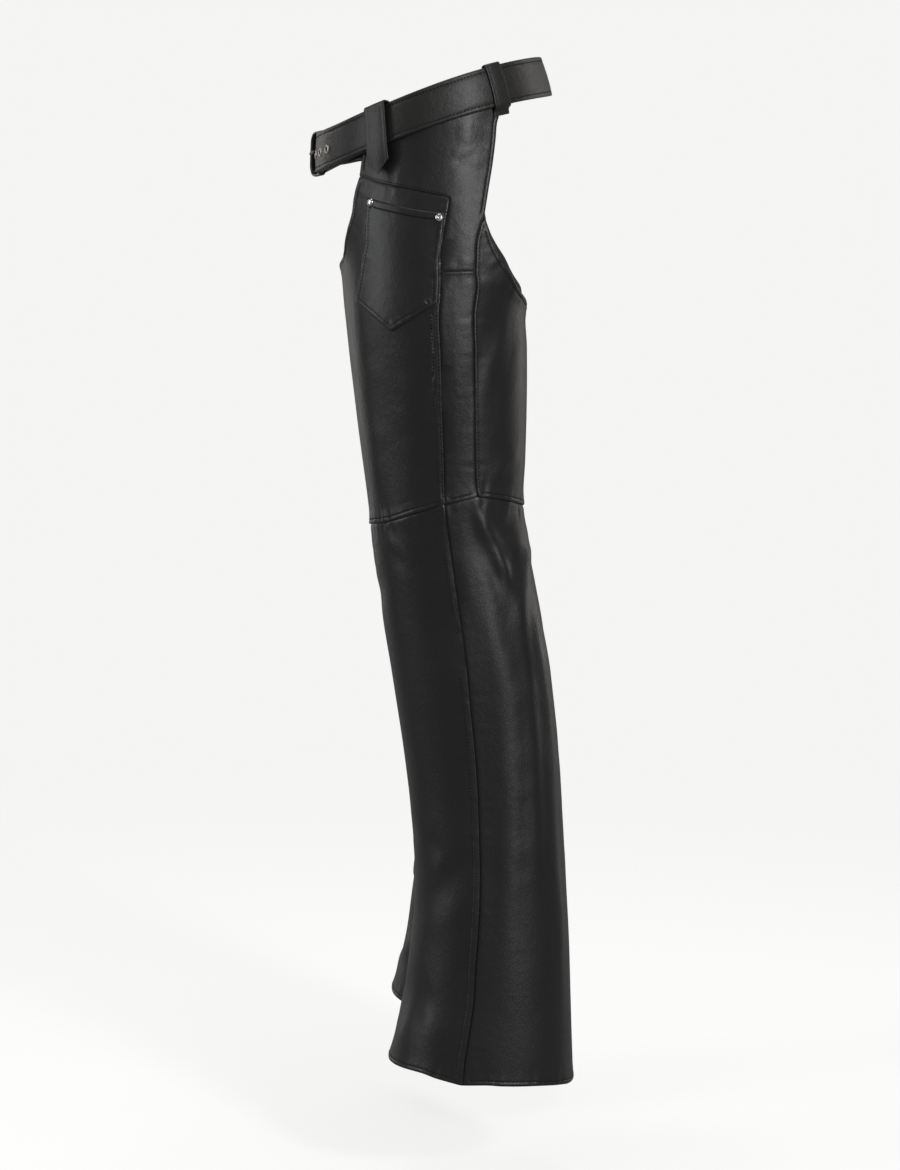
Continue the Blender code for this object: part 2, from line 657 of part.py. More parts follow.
def disc(centre, across, up, away, rings, hollow, sides=16):
    """Turned piece round the away direction: rings of (radius, height)."""
    vertices, faces = [], []
    for radius, height in rings:
        for k in range(sides):
            turn = 2 * math.pi * k / sides
            vertices.append(
                centre + across * (radius * math.cos(turn)) + up * (radius * math.sin(turn)) + away * height)
    count = len(rings)
    for i in range(count if hollow else count - 1):
        a, b = i * sides, ((i + 1) % count) * sides
        for k in range(sides):
            faces.append((a + k, a + (k + 1) % sides, b + (k + 1) % sides, b + k))
    if not hollow:
        faces += [tuple(range(sides))[::-1], tuple((count - 1) * sides + k for k in range(sides))]
    return vertices, faces


def build_metal(look):
    tail = [row for row in strap_rows() if row[0] > BELT_LENGTH / 2]
    outer, bore, high = EYELET_RADIUS, EYELET_BORE, 0.9 * MM
    rings = ((bore, 0.0), (outer, 0.0), (outer - 0.5 * MM, 0.6 * high), (3.4 * MM, high), (bore, 0.5 * high))
    for number, along in enumerate(EYELETS, start=1):
        reach = BELT_LENGTH + np.array([along - 3, along, along + 3]) * MM
        before, middle, after = np.interp(reach, [r[0] for r in tail], [r[1] for r in tail])
        centre, across, up, away = frame_at(along * MM, 0.0, middle + BELT_WALL / 2 + 1.6 * GAP)
        across = (across * (6 * MM) + away * (after - before)).normalized()
        away = across.cross(up)
        add_part(f"eyelet_{number}", *disc(centre, across, up, away, rings, True), look)
    shape = ((0.95, 0.0), (1.0, 0.5), (0.85, 1.2), (0.5, 1.8), (0.2, 2.0))
    rings = [(RIVET_RADIUS * share, high * MM) for share, high in shape]
    for number, (y, z) in enumerate(POCKET_RIVETS, start=1):
        theta = theta_at(y * MM, z * MM)
        centre = skin(theta, z * MM, POCKET_WALL + 2.3 * GAP)
        away = bare_normal(theta, z * MM, False)
        across = (Vector((0, 0, 1)).cross(away)).normalized()
        vertices, faces = disc(centre, across, away.cross(across), away, rings, False)
        add_both(f"pocket_rivet_{number}", vertices, faces, look)


def main():
    clear_scene()
    leather = material("black_leather", (0.021, 0.021, 0.022), 0.0, 0.5)
    silver = material("silver_metal", (0.72, 0.72, 0.70), 1.0, 0.25)
    dark = material("black_nickel", (0.035, 0.035, 0.04), 1.0, 0.3)
    build_panels(leather)
    build_belt(leather)
    build_loops(leather)
    build_tab(leather)
    build_buckle(dark)
    build_metal(silver)


main()
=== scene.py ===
import math

import bpy
import numpy as np
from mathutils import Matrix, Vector
from mathutils.geometry import delaunay_2d_cdt
from mathutils.kdtree import KDTree


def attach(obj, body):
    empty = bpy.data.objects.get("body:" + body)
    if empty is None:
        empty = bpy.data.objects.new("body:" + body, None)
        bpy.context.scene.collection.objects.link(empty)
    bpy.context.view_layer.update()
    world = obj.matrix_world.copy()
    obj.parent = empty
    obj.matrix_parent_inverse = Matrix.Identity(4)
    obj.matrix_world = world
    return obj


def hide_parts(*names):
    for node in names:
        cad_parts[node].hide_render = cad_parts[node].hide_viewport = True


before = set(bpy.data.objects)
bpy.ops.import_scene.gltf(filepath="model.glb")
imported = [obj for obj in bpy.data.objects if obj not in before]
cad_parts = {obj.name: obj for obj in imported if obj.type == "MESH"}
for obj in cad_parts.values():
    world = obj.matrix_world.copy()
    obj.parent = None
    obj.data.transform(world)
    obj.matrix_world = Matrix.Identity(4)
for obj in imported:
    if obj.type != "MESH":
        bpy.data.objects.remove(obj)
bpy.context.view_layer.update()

MM = 0.001
WALL = 1.8 * MM          # leather of the panels
POCKET_WALL = 1.4 * MM
GAP = 0.3 * MM           # between pieces
CHART = 0.1              # metres of chart width for one radian round the leg
POWER = 2.25             # how square the sections are
FINE = 3.4 * MM          # spacing of the mesh points inside a panel
SEAM_STEP = 3.0 * MM     # and along a seam
SEAM_ROWS = (0.5, 1.3, 2.6, 3.8, 4.6, 5.4, 6.6, 7.4, 8.2, 10.0)  # mm from a seam: mesh rows beside it
STITCH_PITCH = 3.5 * MM
STITCH_LENGTH = 2.3 * MM
STITCH_RADIUS = 0.48 * MM

# Outside of the worn leather, one row per height.
SECTIONS = (  # z mm, front y, back y, outer x, inner x
    (60, -104, 104, 160, -160), (20, -106, 116, 165.5, -165.5), (-20, -107, 120, 169.5, -169.5),
    (-60, -108, 122, 175, -175), (-100, -104, 119, 184, -120), (-145, -90.5, 106, 190, -25),
    (-185, -86.5, 93, 194, 2), (-225, -82, 94, 194.5, 8), (-285, -74, 93, 192, 20),
    (-335, -67.5, 91.5, 190, 32), (-385, -61.5, 90.2, 188, 40), (-410, -59.5, 94.5, 187, 42),
    (-450, -54.8, 99.7, 188, 44), (-490, -48.7, 107.5, 189, 46), (-540, -40.3, 117, 190, 48),
    (-585, -33.7, 122.5, 190, 48), (-640, -26.3, 128, 191, 50), (-700, -20.5, 131.7, 193, 50),
    (-745, -17.5, 134, 196, 50), (-785, -18.3, 136.2, 199, 49), (-830, -22.8, 138.5, 203, 48),
    (-880, -29.8, 139.8, 207, 46), (-925, -40.5, 140.7, 211, 45), (-965, -52, 141.5, 214, 44),
)

# Largest folds. Turn 0 runs down the leg, 90 round it; a depth below 0 is a trough.
FOLDS = (  # theta deg, z mm, half length, half width, turn deg, depth mm
    (33, -420, 55, 12, -20, 2.6), (52, -395, 45, 11, 62, -2.4), (60, -452, 60, 14, 40, 2.0),
    (41, -600, 150, 15, 6, 2.4), (64, -640, 120, 20, -5, -1.8), (-38, -748, 62, 16, 62, -1.5),
    (-30, -780, 60, 17, 70, 0.7), (150, -430, 60, 14, 60, -2.2), (-140, -760, 55, 15, 70, -2.4),
    (20, -250, 70, 13, 30, -1.2), (120, -300, 70, 16, 35, -1.8), (-95, -470, 60, 15, 75, -1.6),
)

# Seam lines as seen from the side: y mm, z mm, on the outer half of the leg.
SEEN = {
    "yoke_front": ((-61, -4), (-64.5, -25), (-66.9, -40), (-69.2, -57.3)),
    "yoke_rear": ((78, 43), (74, 25), (64.6, -2), (62.1, -21.8), (59.2, -45), (55, -70), (51.1, -93.7)),
    "yoke_seam": ((-69.2, -57.3), (-49.2, -63.6), (-25.9, -68), (-1, -73), (17.4, -77.5)),
    "yoke_side": ((17.4, -77.5), (15.1, -94.1), (11.3, -115.8), (9.4, -128), (9.0, -147)),
    "yoke_back": ((51.1, -93.7), (43.8, -117.1), (42.4, -146)),
    "strip_top": ((9.0, -147), (42.4, -146)),
    "outseam_upper": ((9.0, -147), (8.5, -173.5), (9, -220), (10.3, -269), (12, -320), (13.4, -370.7)),
    "outseam_lower": (
        (13.4, -370.7), (17.5, -408.4), (23.8, -453), (30.6, -501.5), (37, -560), (41.8, -607.9),
        (45.3, -655.2), (47.3, -717.8), (47.3, -756.8), (43.5, -821.3), (41.5, -858.1),
        (37.6, -887.2), (32.5, -920), (30.8, -943.9)),
    "rear_seam": ((42.4, -146), (42.2, -174), (41.7, -245), (42.1, -308.9), (43.1, -345), (45.1, -363.7)),
    "knee_front": ((-59.5, -397), (-45, -391), (-30.9, -385.7), (-8, -377.5), (13.4, -370.7)),
    "knee_side": ((13.4, -370.7), (45.1, -363.7)),
    "knee_back": ((45.1, -363.7), (66.7, -367.8), (82, -373.5), (89, -378.5)),
    "hem_front": ((-44.5, -938), (-17.7, -935.2), (5, -939), (30.8, -943.9)),
    "hem_back": (
        (30.8, -943.9), (54.4, -943.6), (69.2, -944.9), (105.2, -948.1), (127.8, -953.2), (137, -957)),
    "edge_front": ((-69.2, -57.3), (-74.4, -75.6), (-77.6, -96), (-83.6, -118.9), (-86.7, -136)),
    "edge_back": ((51.1, -93.7), (54.4, -104.6), (63.1, -127.3), (75.4, -147.5), (86.1, -167.5)),
}
# Their continuations round the inner half: theta deg, z mm. Those of a front line may come first.
ROUND = {
    "edge_front": ((-95, -150), (-122, -175), (-150, -201), (-180, -225)),
    "edge_back": ((95, -187), (122, -203), (150, -217), (180, -225)),
    "knee_front": ((-180, -401), (-150, -403), (-120, -403), (-92, -399.5)),
    "knee_back": ((92, -381), (120, -389), (150, -397), (180, -401)),
    "hem_front": ((-180, -949), (-150, -945), (-120, -941.5), (-92, -938.5)),
    "hem_back": ((92, -958), (120, -956), (150, -952), (180, -949)),
}
POCKET = (  # y mm, z mm: flared patch; its mouth is the first six points
    (-60.5, -77.5), (-48, -81), (-36.5, -83.5), (-20.2, -87.2), (0.9, -90.4), (12.6, -91.5),
    (9.7, -117), (7.3, -132), (7.0, -147), (6.4, -176), (0.4, -179.5), (-18, -191),
    (-38.1, -204.3), (-56, -190), (-72.3, -176.7), (-69.6, -159), (-66, -135.6), (-63, -117.3),
)
POCKET_MOUTH = 6
POCKET_RIVETS = ((-56.6, -82.5), (7.6, -96.2))  # y mm, z mm
POCKET_STUD = (-3.0, -175.5)  # round swelling over a stud inside, at the low rear corner

# Panels: their seam lines in order, a minus sign where one is walked backwards.
PANELS = {
    "yoke": "yoke_top yoke_rear yoke_back -strip_top -yoke_side -yoke_seam -yoke_front",
    "thigh_front": "yoke_seam yoke_side outseam_upper -knee_front -inseam_upper_front -edge_front",
    "side_strip": "strip_top rear_seam -knee_side -outseam_upper",
    "thigh_back": "yoke_back rear_seam knee_back -inseam_upper_back -edge_back",
    "shin_front": "knee_front outseam_lower -hem_front -inseam_lower_front",
    "calf_back": "knee_side knee_back inseam_lower_back -hem_back -outseam_lower",
    "pocket": "pocket_mouth pocket_sides",
}

# Height of the leather beside a seam.
PROFILES = {  # mm from the seam, mm high
    "plain": ((0, -0.3), (0.6, 0), (1, 0)),
    "under": ((0, -1.3), (0.5, -0.6), (1.3, -0.2), (3, 0)),
    "pressed": ((0, -0.7), (0.5, 0.1), (1.3, 0.5), (2.6, 0.35), (4.6, 0.1), (8, 0)),
    "turned": ((0, -0.3), (0.5, 0.4), (1.3, 0.75), (2.6, 0.8), (3.8, 0.5), (4.6, 0.05), (5.4, 0.3),
               (7.4, 0.25), (12, 0)),
    "patch": ((0, -0.3), (0.5, 0.15), (1.3, 0.35), (2.6, 0.38), (3.8, 0.22), (4.6, -0.08), (5.4, 0.12),
              (8, 0)),
    "lap": ((0, 0.3), (0.5, 0.95), (1.3, 1.25), (2.6, 1.2), (3.8, 0.9), (4.6, 0.4), (5.4, 0.65),
            (8.2, 0.4), (13, 0)),
    "wide_lap": ((0, 0.3), (0.5, 0.95), (1.3, 1.15), (2.6, 1.05), (3.8, 1.25), (4.6, 1.25), (6.6, 0.95),
                 (7.4, -0.15), (8.2, 0.5), (10, 0.3), (15, 0)),
    "welt": ((0, -0.2), (0.5, 0.7), (1.3, 1.2), (4.6, 1.35), (6.6, 1.0), (7.4, -0.1), (8.2, 0.25),
             (10, 0.2), (14, 0)),
}
# Inside of the leather at a seam, mm: higher where it lies on its neighbour's tongue.
INSIDE = {"lap": -0.5, "wide_lap": -0.5, "pressed": -1.0}
TONGUE = 2.8 * MM        # how far a panel runs on under its neighbour
# What each panel has at its seams: seam, profile, stitch rows in mm from it.
EDGES = {
    "yoke": (
        ("yoke_top", "plain", ()), ("yoke_rear", "turned", (4.6,)), ("yoke_back", "under", ()),
        ("strip_top", "under", ()), ("yoke_side", "under", ()), ("yoke_seam", "pressed", (2.6,)),
        ("yoke_front", "turned", (4.6,))),
    "thigh_front": (
        ("yoke_seam", "under", ()), ("yoke_side", "lap", (4.6,)), ("outseam_upper", "wide_lap", (2.0, 7.4)),
        ("knee_front", "lap", (4.6,)), ("inseam_upper_front", "pressed", ()), ("edge_front", "turned", (4.6,))),
    "side_strip": (
        ("strip_top", "pressed", (2.6,)), ("rear_seam", "under", ()), ("knee_side", "lap", (4.6,)),
        ("outseam_upper", "under", ())),
    "thigh_back": (
        ("yoke_back", "pressed", (2.6,)), ("rear_seam", "pressed", (2.6,)), ("knee_back", "lap", (4.6,)),
        ("inseam_upper_back", "under", ()), ("edge_back", "turned", (4.6,))),
    "shin_front": (
        ("knee_front", "under", ()), ("outseam_lower", "wide_lap", (7.4,)), ("hem_front", "turned", (4.6,)),
        ("inseam_lower_front", "pressed", ())),
    "calf_back": (
        ("knee_side", "under", ()), ("knee_back", "under", ()), ("inseam_lower_back", "under", ()),
        ("hem_back", "turned", (4.6,)), ("outseam_lower", "under", ())),
    "pocket": (("pocket_mouth", "welt", (7.4,)), ("pocket_sides", "patch", (4.6,))),
}
# Pulled leather beside a seam: mm high, mm reach.
PUCKERS = {
    "yoke_rear": (0.25, 9), "yoke_seam": (0.3, 9), "yoke_side": (0.3, 9), "strip_top": (0.45, 12),
    "outseam_upper": (0.2, 10), "outseam_lower": (0.2, 12), "rear_seam": (0.2, 10),
    "knee_front": (0.5, 14), "knee_side": (0.55, 14), "knee_back": (0.5, 14), "yoke_back": (0.25, 9),
    "hem_front": (0.35, 11), "hem_back": (0.35, 11), "edge_front": (0.35, 11), "edge_back": (0.4, 12),
    "pocket_mouth": (0.2, 8), "pocket_sides": (0.25, 8),
    "inseam_upper_front": (0.4, 12), "inseam_upper_back": (0.4, 12),
    "inseam_lower_front": (0.4, 12), "inseam_lower_back": (0.4, 12),
}

# Creases placed one by one. Path as y mm, z mm seen from the side ("side") or theta deg, z mm ("round").
CREASES_OUTER = (  # kind, half width mm, height mm, path
    ("side", 3.6, -0.6, ((18, -45), (28.6, -42.5), (36, -39), (44, -34.5))),
    ("side", 3.4, -0.5, ((28, -47), (36, -48), (46, -49.5), (57, -52))),
    ("side", 7, 0.7, ((30, -4), (34, -16), (33, -30))),
    ("side", 6, 2.1, ((46, -372), (49.9, -398.2), (61.6, -417.4), (69.5, -437.4), (70.5, -456))),
    ("side", 7, -1.5, ((40, -373), (43, -392), (52, -415), (61, -437), (66, -462))),
    ("side", 5, 1.1, ((62, -402), (71.5, -416.3), (79, -430))),
    ("side", 7, 0.9, ((72, -408), (84.4, -416.3), (97, -428))),
    ("side", 14, 1.7, ((54.8, -425), (56.8, -460.6), (61.7, -501.6), (78.4, -563.1), (79.6, -661.6),
                      (76.8, -760.1), (74, -850))),
    ("side", 12, -0.8, ((44, -440), (46, -500), (56, -563), (60, -661), (60, -750), (58, -830))),
    ("side", 9, -0.8, ((-30, -697), (-18.8, -705), (-4, -709), (8.2, -713.4), (22, -722))),
    ("side", 10, 0.8, ((14, -712), (5, -735), (-4, -760), (-8.7, -785))),
    ("side", 16, 1.4, ((-40, -925), (-26, -905), (-4, -893), (20, -885))),
    ("side", 13, -0.9, ((-38, -872), (-20, -862), (4, -858))),
    ("side", 9, 1.3, ((100, -458), (101.7, -471.6), (103.5, -500.5), (107.4, -528.8), (115, -576.3),
                      (119.7, -624.9), (123.8, -718.2), (128.1, -798.5), (129.2, -854.5), (130, -920))),
    ("side", 9, -0.8, ((93, -462), (95, -500), (99, -540), (106, -590), (110, -650), (115, -720))),
    ("side", 13, 1.0, ((-70, -150), (-68, -200), (-62, -260), (-55, -330), (-49, -385))),
    ("side", 14, -0.5, ((-40, -215), (-35, -260), (-33, -310), (-30, -360))),
    ("side", 6, 0.4, ((78, -175), (70, -205), (56, -240), (50, -268))),
    ("side", 7, -0.35, ((84, -195), (76, -230), (64, -265), (54, -300))),
    ("side", 5, 0.45, ((44, -158), (54, -154), (66, -157), (76, -165))),
    ("side", 5, -0.4, ((45, -170), (56, -167), (70, -171), (80, -180))),
    ("side", 6, 0.8, ((86, -320), (70, -335), (56, -352))),
    ("side", 6, 0.4, ((-52, -398), (-40, -410), (-24, -421), (-10, -428))),
    ("side", 6, -0.35, ((-50, -412), (-36, -425), (-20, -436))),
)
CREASES_INNER = (
    ("round", 7, 1.5, ((110, -372), (128, -392), (150, -410), (172, -420))),
    ("round", 6, -1.3, ((105, -398), (126, -415), (150, -432), (168, -440))),
    ("round", 7, 1.3, ((100, -420), (118, -436), (140, -452))),
    ("round", 9, 1.4, ((150, -440), (146, -520), (138, -600), (136, -690), (140, -760))),
    ("round", 8, -1.4, ((170, -470), (164, -540), (160, -620), (158, -700))),
    ("round", 9, 1.6, ((-150, -450), (-146, -530), (-142, -610), (-146, -690))),
    ("round", 8, -1.9, ((-92, -712), (-110, -722), (-132, -742), (-152, -752))),
    ("round", 8, 1.6, ((-86, -742), (-108, -758), (-130, -772))),
    ("round", 8, -1.6, ((-100, -240), (-125, -262), (-150, -280), (-170, -288))),
    ("round", 8, 1.5, ((-96, -262), (-122, -288), (-148, -308))),
    ("round", 7, 1.4, ((168, -262), (150, -272), (128, -282), (108, -300))),
    ("round", 7, -1.2, ((165, -290), (146, -304), (124, -318))),
    ("round", 12, 1.9, ((-95, -900), (-118, -880), (-140, -868))),
    ("round", 12, -1.6, ((150, -860), (146, -900), (140, -940))),
    ("round", 5, 1.0, ((-84, -415), (-104, -428), (-126, -436), (-148, -438))),
    ("round", 5, -0.9, ((-82, -440), (-102, -452), (-124, -458))),
)
CREASES_FAR = (  # on the right leg's outer side, its own ones
    ("side", 5, 1.4, ((40, -372), (46, -395), (56, -418), (62, -440))),
    ("side", 5, 1.1, ((66, -384), (78, -400), (92, -414))),
    ("side", 4, -1.2, ((34, -380), (37, -402), (47, -425))),
    ("side", 10, 1.7, ((60, -440), (64, -510), (74, -590), (80, -680), (78, -790))),
    ("side", 9, -1.3, ((20, -430), (26, -500), (30, -570))),
    ("side", 7, -2.0, ((-32, -722), (-14, -716), (6, -712), (20, -708))),
    ("side", 8, 1.8, ((-22, -745), (-8, -752), (10, -757))),
    ("side", 13, 2.2, ((-42, -915), (-20, -902), (2, -905))),
    ("side", 6, 2.0, ((101, -480), (104, -520), (113, -580), (119, -650), (124, -760), (129, -880))),
    ("side", 11, 1.5, ((-66, -170), (-63, -240), (-56, -310))),
    ("side", 9, -1.1, ((-30, -225), (-40, -270), (-44, -320))),
    ("side", 6, 0.9, ((74, -170), (62, -205), (52, -232))),
    ("side", 3.4, 0.8, ((35, -22), (31, -36), (22, -52))),
    ("side", 5, 0.8, ((-48, -405), (-30, -420), (-12, -424))),
)

BELT_CLEAR = 0.5 * MM
BELT_WALL = 4.0 * MM
BELT_WIDTH = 38.0 * MM
LOOP_WALL = 1.6 * MM
BELT_RISE = (9.0, 41.2, -12.1)  # mm: belt centre height over y, in powers of y / BELT_REACH
BELT_REACH = 117.0 * MM
YOKE_TOP = 12.0 * MM     # yoke edge above the belt's centre line, hidden behind it
TAB_LOW = (-24.0 * MM, -6.0 * MM)  # lower edge of the front tab at the yokes and midway
BUCKLE_AT = 55.0 * MM    # buckle to the left of the middle of the front, along the belt
EYELETS = (44.5, 26.0, 7.5, -11.0, -29.5)  # mm along the belt from the buckle, the third in use
# Middle of the strap: mm along the ring from the buckle, mm out from the panels, wall mm.
STRAP_START = (
    (38, 5.9, 2.0), (30, 5.9, 2.0), (22, 5.95, 2.0), (15, 6.3, 2.0), (10, 6.5, 2.0),
    (7.0, 5.8, 2.0), (5.7, 4.1, 2.0), (7.0, 2.4, 2.0), (10, 1.6, 2.0), (18, 1.6, 2.0),
    (35, 2.5, 4.0), (60, 2.5, 4.0),
)
STRAP_TAIL = (  # the same, after one turn round the waist
    (-60, 2.5, 4.0), (-36, 2.5, 4.0), (-24, 3.0, 4.0), (-17, 4.3, 4.0), (-9, 6.9, 4.0), (-1, 9.2, 4.0),
    (7, 9.9, 4.0), (16, 9.8, 4.0), (26, 9.5, 4.0), (38, 9.2, 4.0), (49, 8.3, 4.0), (62, 7.3, 4.0),
    (75, 6.9, 4.0), (90, 6.8, 4.0), (117, 6.8, 4.0),
)
TAIL_LEVEL = 6.8
LOOP_CLEAR = 0.6         # mm between a loop and the strap under it
LOOPS = {  # y mm of the middle at the top and the bottom, width, lower end and point below it
    "loop_front": (-49.0, -46.0, 17.5, -35.5, -46.5),
    "loop_back": (62.4, 67.0, 14.5, -28.0, -28.0),
}


# ---- surface of the leg ----

def reader(rows):
    """Cubic through the rows: a function from the first column to the others."""
    table = np.array(sorted(rows), dtype=float)
    keys, values = table[:, 0], table[:, 1:]
    slopes = np.gradient(values, keys, axis=0)

    def at(key):
        key = np.clip(key, keys[0], keys[-1])
        i = np.clip(np.searchsorted(keys, key, side="right") - 1, 0, len(keys) - 2)
        span = (keys[i + 1] - keys[i])[:, None]
        t = (key - keys[i])[:, None] / span
        return (values[i] * (2 * t**3 - 3 * t**2 + 1) + slopes[i] * span * (t**3 - 2 * t**2 + t)
                + values[i + 1] * (3 * t**2 - 2 * t**3) + slopes[i + 1] * span * (t**3 - t**2))

    return at


section_at = reader(SECTIONS)


def signed_power(value, power):
    return np.sign(value) * np.abs(value) ** power


def unit(rows):
    return rows / np.linalg.norm(rows, axis=-1, keepdims=True)


def section(z, waist=False):
    front, back, outer, inner = (section_at(z / MM) * MM).T
    if waist:
        inner = -outer
    return (outer + inner) / 2, (front + back) / 2, (outer - inner) / 2, (back - front) / 2


def bare(theta, z, waist=False):
    theta, z = np.broadcast_arrays(np.asarray(theta, float), np.asarray(z, float))
    cx, cy, ax, ay = section(z, waist)
    x = cx + ax * signed_power(np.cos(theta), 2 / POWER)
    return np.stack([x, cy + ay * signed_power(np.sin(theta), 2 / POWER), z], axis=-1)


def slopes(theta, z, waist=False):
    """Directions round and down the surface, per radian and per metre."""
    round_leg = (bare(theta + 0.02, z, waist) - bare(theta - 0.02, z, waist)) / 0.04
    down = (bare(theta, z + 4 * MM, waist) - bare(theta, z - 4 * MM, waist)) / (8 * MM)
    return round_leg, down


def normal(theta, z, waist=False):
    return unit(np.cross(*slopes(theta, z, waist)))


def theta_at(y, z, waist=False):
    cy, ay = section(np.atleast_1d(z), waist)[1::2]
    return np.arcsin(signed_power(np.clip((y - cy) / ay, -1, 1), POWER / 2))


def smooth_path(points, step):
    """Points spread evenly, about step apart, on a soft curve through the given ones."""
    points = np.array(points, dtype=float)
    if len(points) == 2:
        points = np.array([points[0], points.mean(axis=0), points[1]])
    padded = np.vstack([2 * points[0] - points[1], points, 2 * points[-1] - points[-2]])
    t = np.arange(16)[:, None] / 16
    fine = [0.5 * (2 * b + (c - a) * t + (2 * a - 5 * b + 4 * c - d) * t * t
                   + (3 * b - a - 3 * c + d) * t**3)
            for a, b, c, d in zip(padded, padded[1:], padded[2:], padded[3:])]
    fine = np.vstack([*fine, points[-1:]])
    reach = distance_along(fine)
    wanted = np.linspace(0, reach[-1], max(1, round(reach[-1] / step)) + 1)
    return np.column_stack([np.interp(wanted, reach, column) for column in fine.T])


def distance_along(points):
    return np.r_[0, np.cumsum(np.linalg.norm(np.diff(points, axis=0), axis=1))]


def from_side(rows):
    """Chart points of (y mm, z mm) rows on the outer half."""
    y, z = np.array(rows, dtype=float).T * MM
    return np.column_stack([theta_at(y, z) * CHART, z])


def from_round(rows):
    theta, z = np.array(rows, dtype=float).T
    return np.column_stack([np.radians(theta) * CHART, z * MM])


def belt_height(theta):
    y = bare(theta, np.zeros_like(theta), True)[:, 1] / BELT_REACH
    return (BELT_RISE[0] + BELT_RISE[1] * y + BELT_RISE[2] * y * y) * MM


def seam_lines():
    """All seam lines of one leg, by name, in the chart."""
    lines = {}
    for name, rows in SEEN.items():
        parts = [from_side(rows)]
        if name in ROUND:
            first = name in ("knee_front", "hem_front")
            parts.insert(0 if first else 1, from_round(ROUND[name]))
        lines[name] = smooth_path(np.vstack(parts), SEAM_STEP)
    crotch, knee, hem = ROUND["edge_front"][-1][1], ROUND["knee_front"][0][1], ROUND["hem_front"][0][1]
    for side, angle in (("front", -180), ("back", 180)):
        lines["inseam_upper_" + side] = smooth_path(from_round(((angle, crotch), (angle, knee))), SEAM_STEP)
        lines["inseam_lower_" + side] = smooth_path(from_round(((angle, knee), (angle, hem))), SEAM_STEP)
    first, last = lines["yoke_front"][0], lines["yoke_rear"][0]
    u = np.linspace(first[0], last[0], 70)[1:-1]
    top = np.column_stack([u, belt_height(u / CHART) + YOKE_TOP])
    lines["yoke_top"] = np.vstack([first, top, last])
    outline = from_side(POCKET)
    corners = [0, POCKET_MOUTH - 1, 9, 12, 14, len(outline)]
    ring = np.vstack([outline, outline[:1]])
    sides = [smooth_path(ring[a:b + 1], SEAM_STEP) for a, b in zip(corners, corners[1:])]
    lines["pocket_mouth"] = sides[0]
    lines["pocket_sides"] = np.vstack([sides[1], *[s[1:] for s in sides[2:]]])
    return lines


LINES = seam_lines()
SPOTS = {name: bare(line[:, 0] / CHART, line[:, 1]) for name, line in LINES.items()}


def tree_of(points):
    tree = KDTree(len(points))
    for index, point in enumerate(points):
        tree.insert(point, index)
    tree.balance()
    return tree


TREES = {name: tree_of(spots) for name, spots in SPOTS.items()}
ALL_LINES = tree_of(np.vstack(list(SPOTS.values())))


def nearest(spots, name):
    """Distance of each spot from a seam, and how far along the seam that is."""
    line, tree = SPOTS[name], TREES[name]
    reach = distance_along(line)
    index = np.array([tree.find(spot)[1] for spot in spots])
    best, along = np.full(len(spots), np.inf), np.zeros(len(spots))
    for first in (index - 1, index):
        first = np.clip(first, 0, len(line) - 2)
        step = line[first + 1] - line[first]
        t = np.clip(((spots - line[first]) * step).sum(1) / (step**2).sum(1), 0, 1)
        gap = np.linalg.norm(spots - line[first] - step * t[:, None], axis=1)
        closer = gap < best
        best = np.where(closer, gap, best)
        along = np.where(closer, reach[first] + t * np.linalg.norm(step, axis=1), along)
    return best, along


def walk(names):
    loop = []
    for name in names.split():
        line = LINES[name.lstrip("-")]
        loop.append((line[::-1] if name.startswith("-") else line)[:-1])
    return np.vstack(loop)


LOOPS_OF = {panel: walk(names) for panel, names in PANELS.items()}


def inside(points, loop):
    """Which chart points lie inside a closed line."""
    found = np.zeros(len(points), dtype=bool)
    x, y = points.T
    for (ax, ay), (bx, by) in zip(loop, np.roll(loop, -1, axis=0)):
        if ay != by:
            found ^= ((ay > y) != (by > y)) & (x < ax + (y - ay) * (bx - ax) / (by - ay))
    return found


def beside(line, amount):
    """Chart points a real distance to one side of each point of a chart line."""
    theta, z = line[:, 0] / CHART, line[:, 1]
    round_leg, down = slopes(theta, z)
    round_leg = round_leg / CHART
    way = np.gradient(line, axis=0)
    along = unit(round_leg * way[:, :1] + down * way[:, 1:])
    aside = np.cross(unit(np.cross(round_leg, down)), along) * amount
    e, f, g = (round_leg**2).sum(1), (round_leg * down).sum(1), (down**2).sum(1)
    p, q = (aside * round_leg).sum(1), (aside * down).sum(1)
    det = e * g - f * f
    return line + np.column_stack([(g * p - f * q) / det, (e * q - f * p) / det])


def on_surface(chart):
    return bare(chart[:, 0] / CHART, chart[:, 1])


def clear_of_seams(chart, margin):
    """Which chart points are at least margin from every seam."""
    return np.array([ALL_LINES.find(spot)[2] for spot in on_surface(chart)]) >= margin


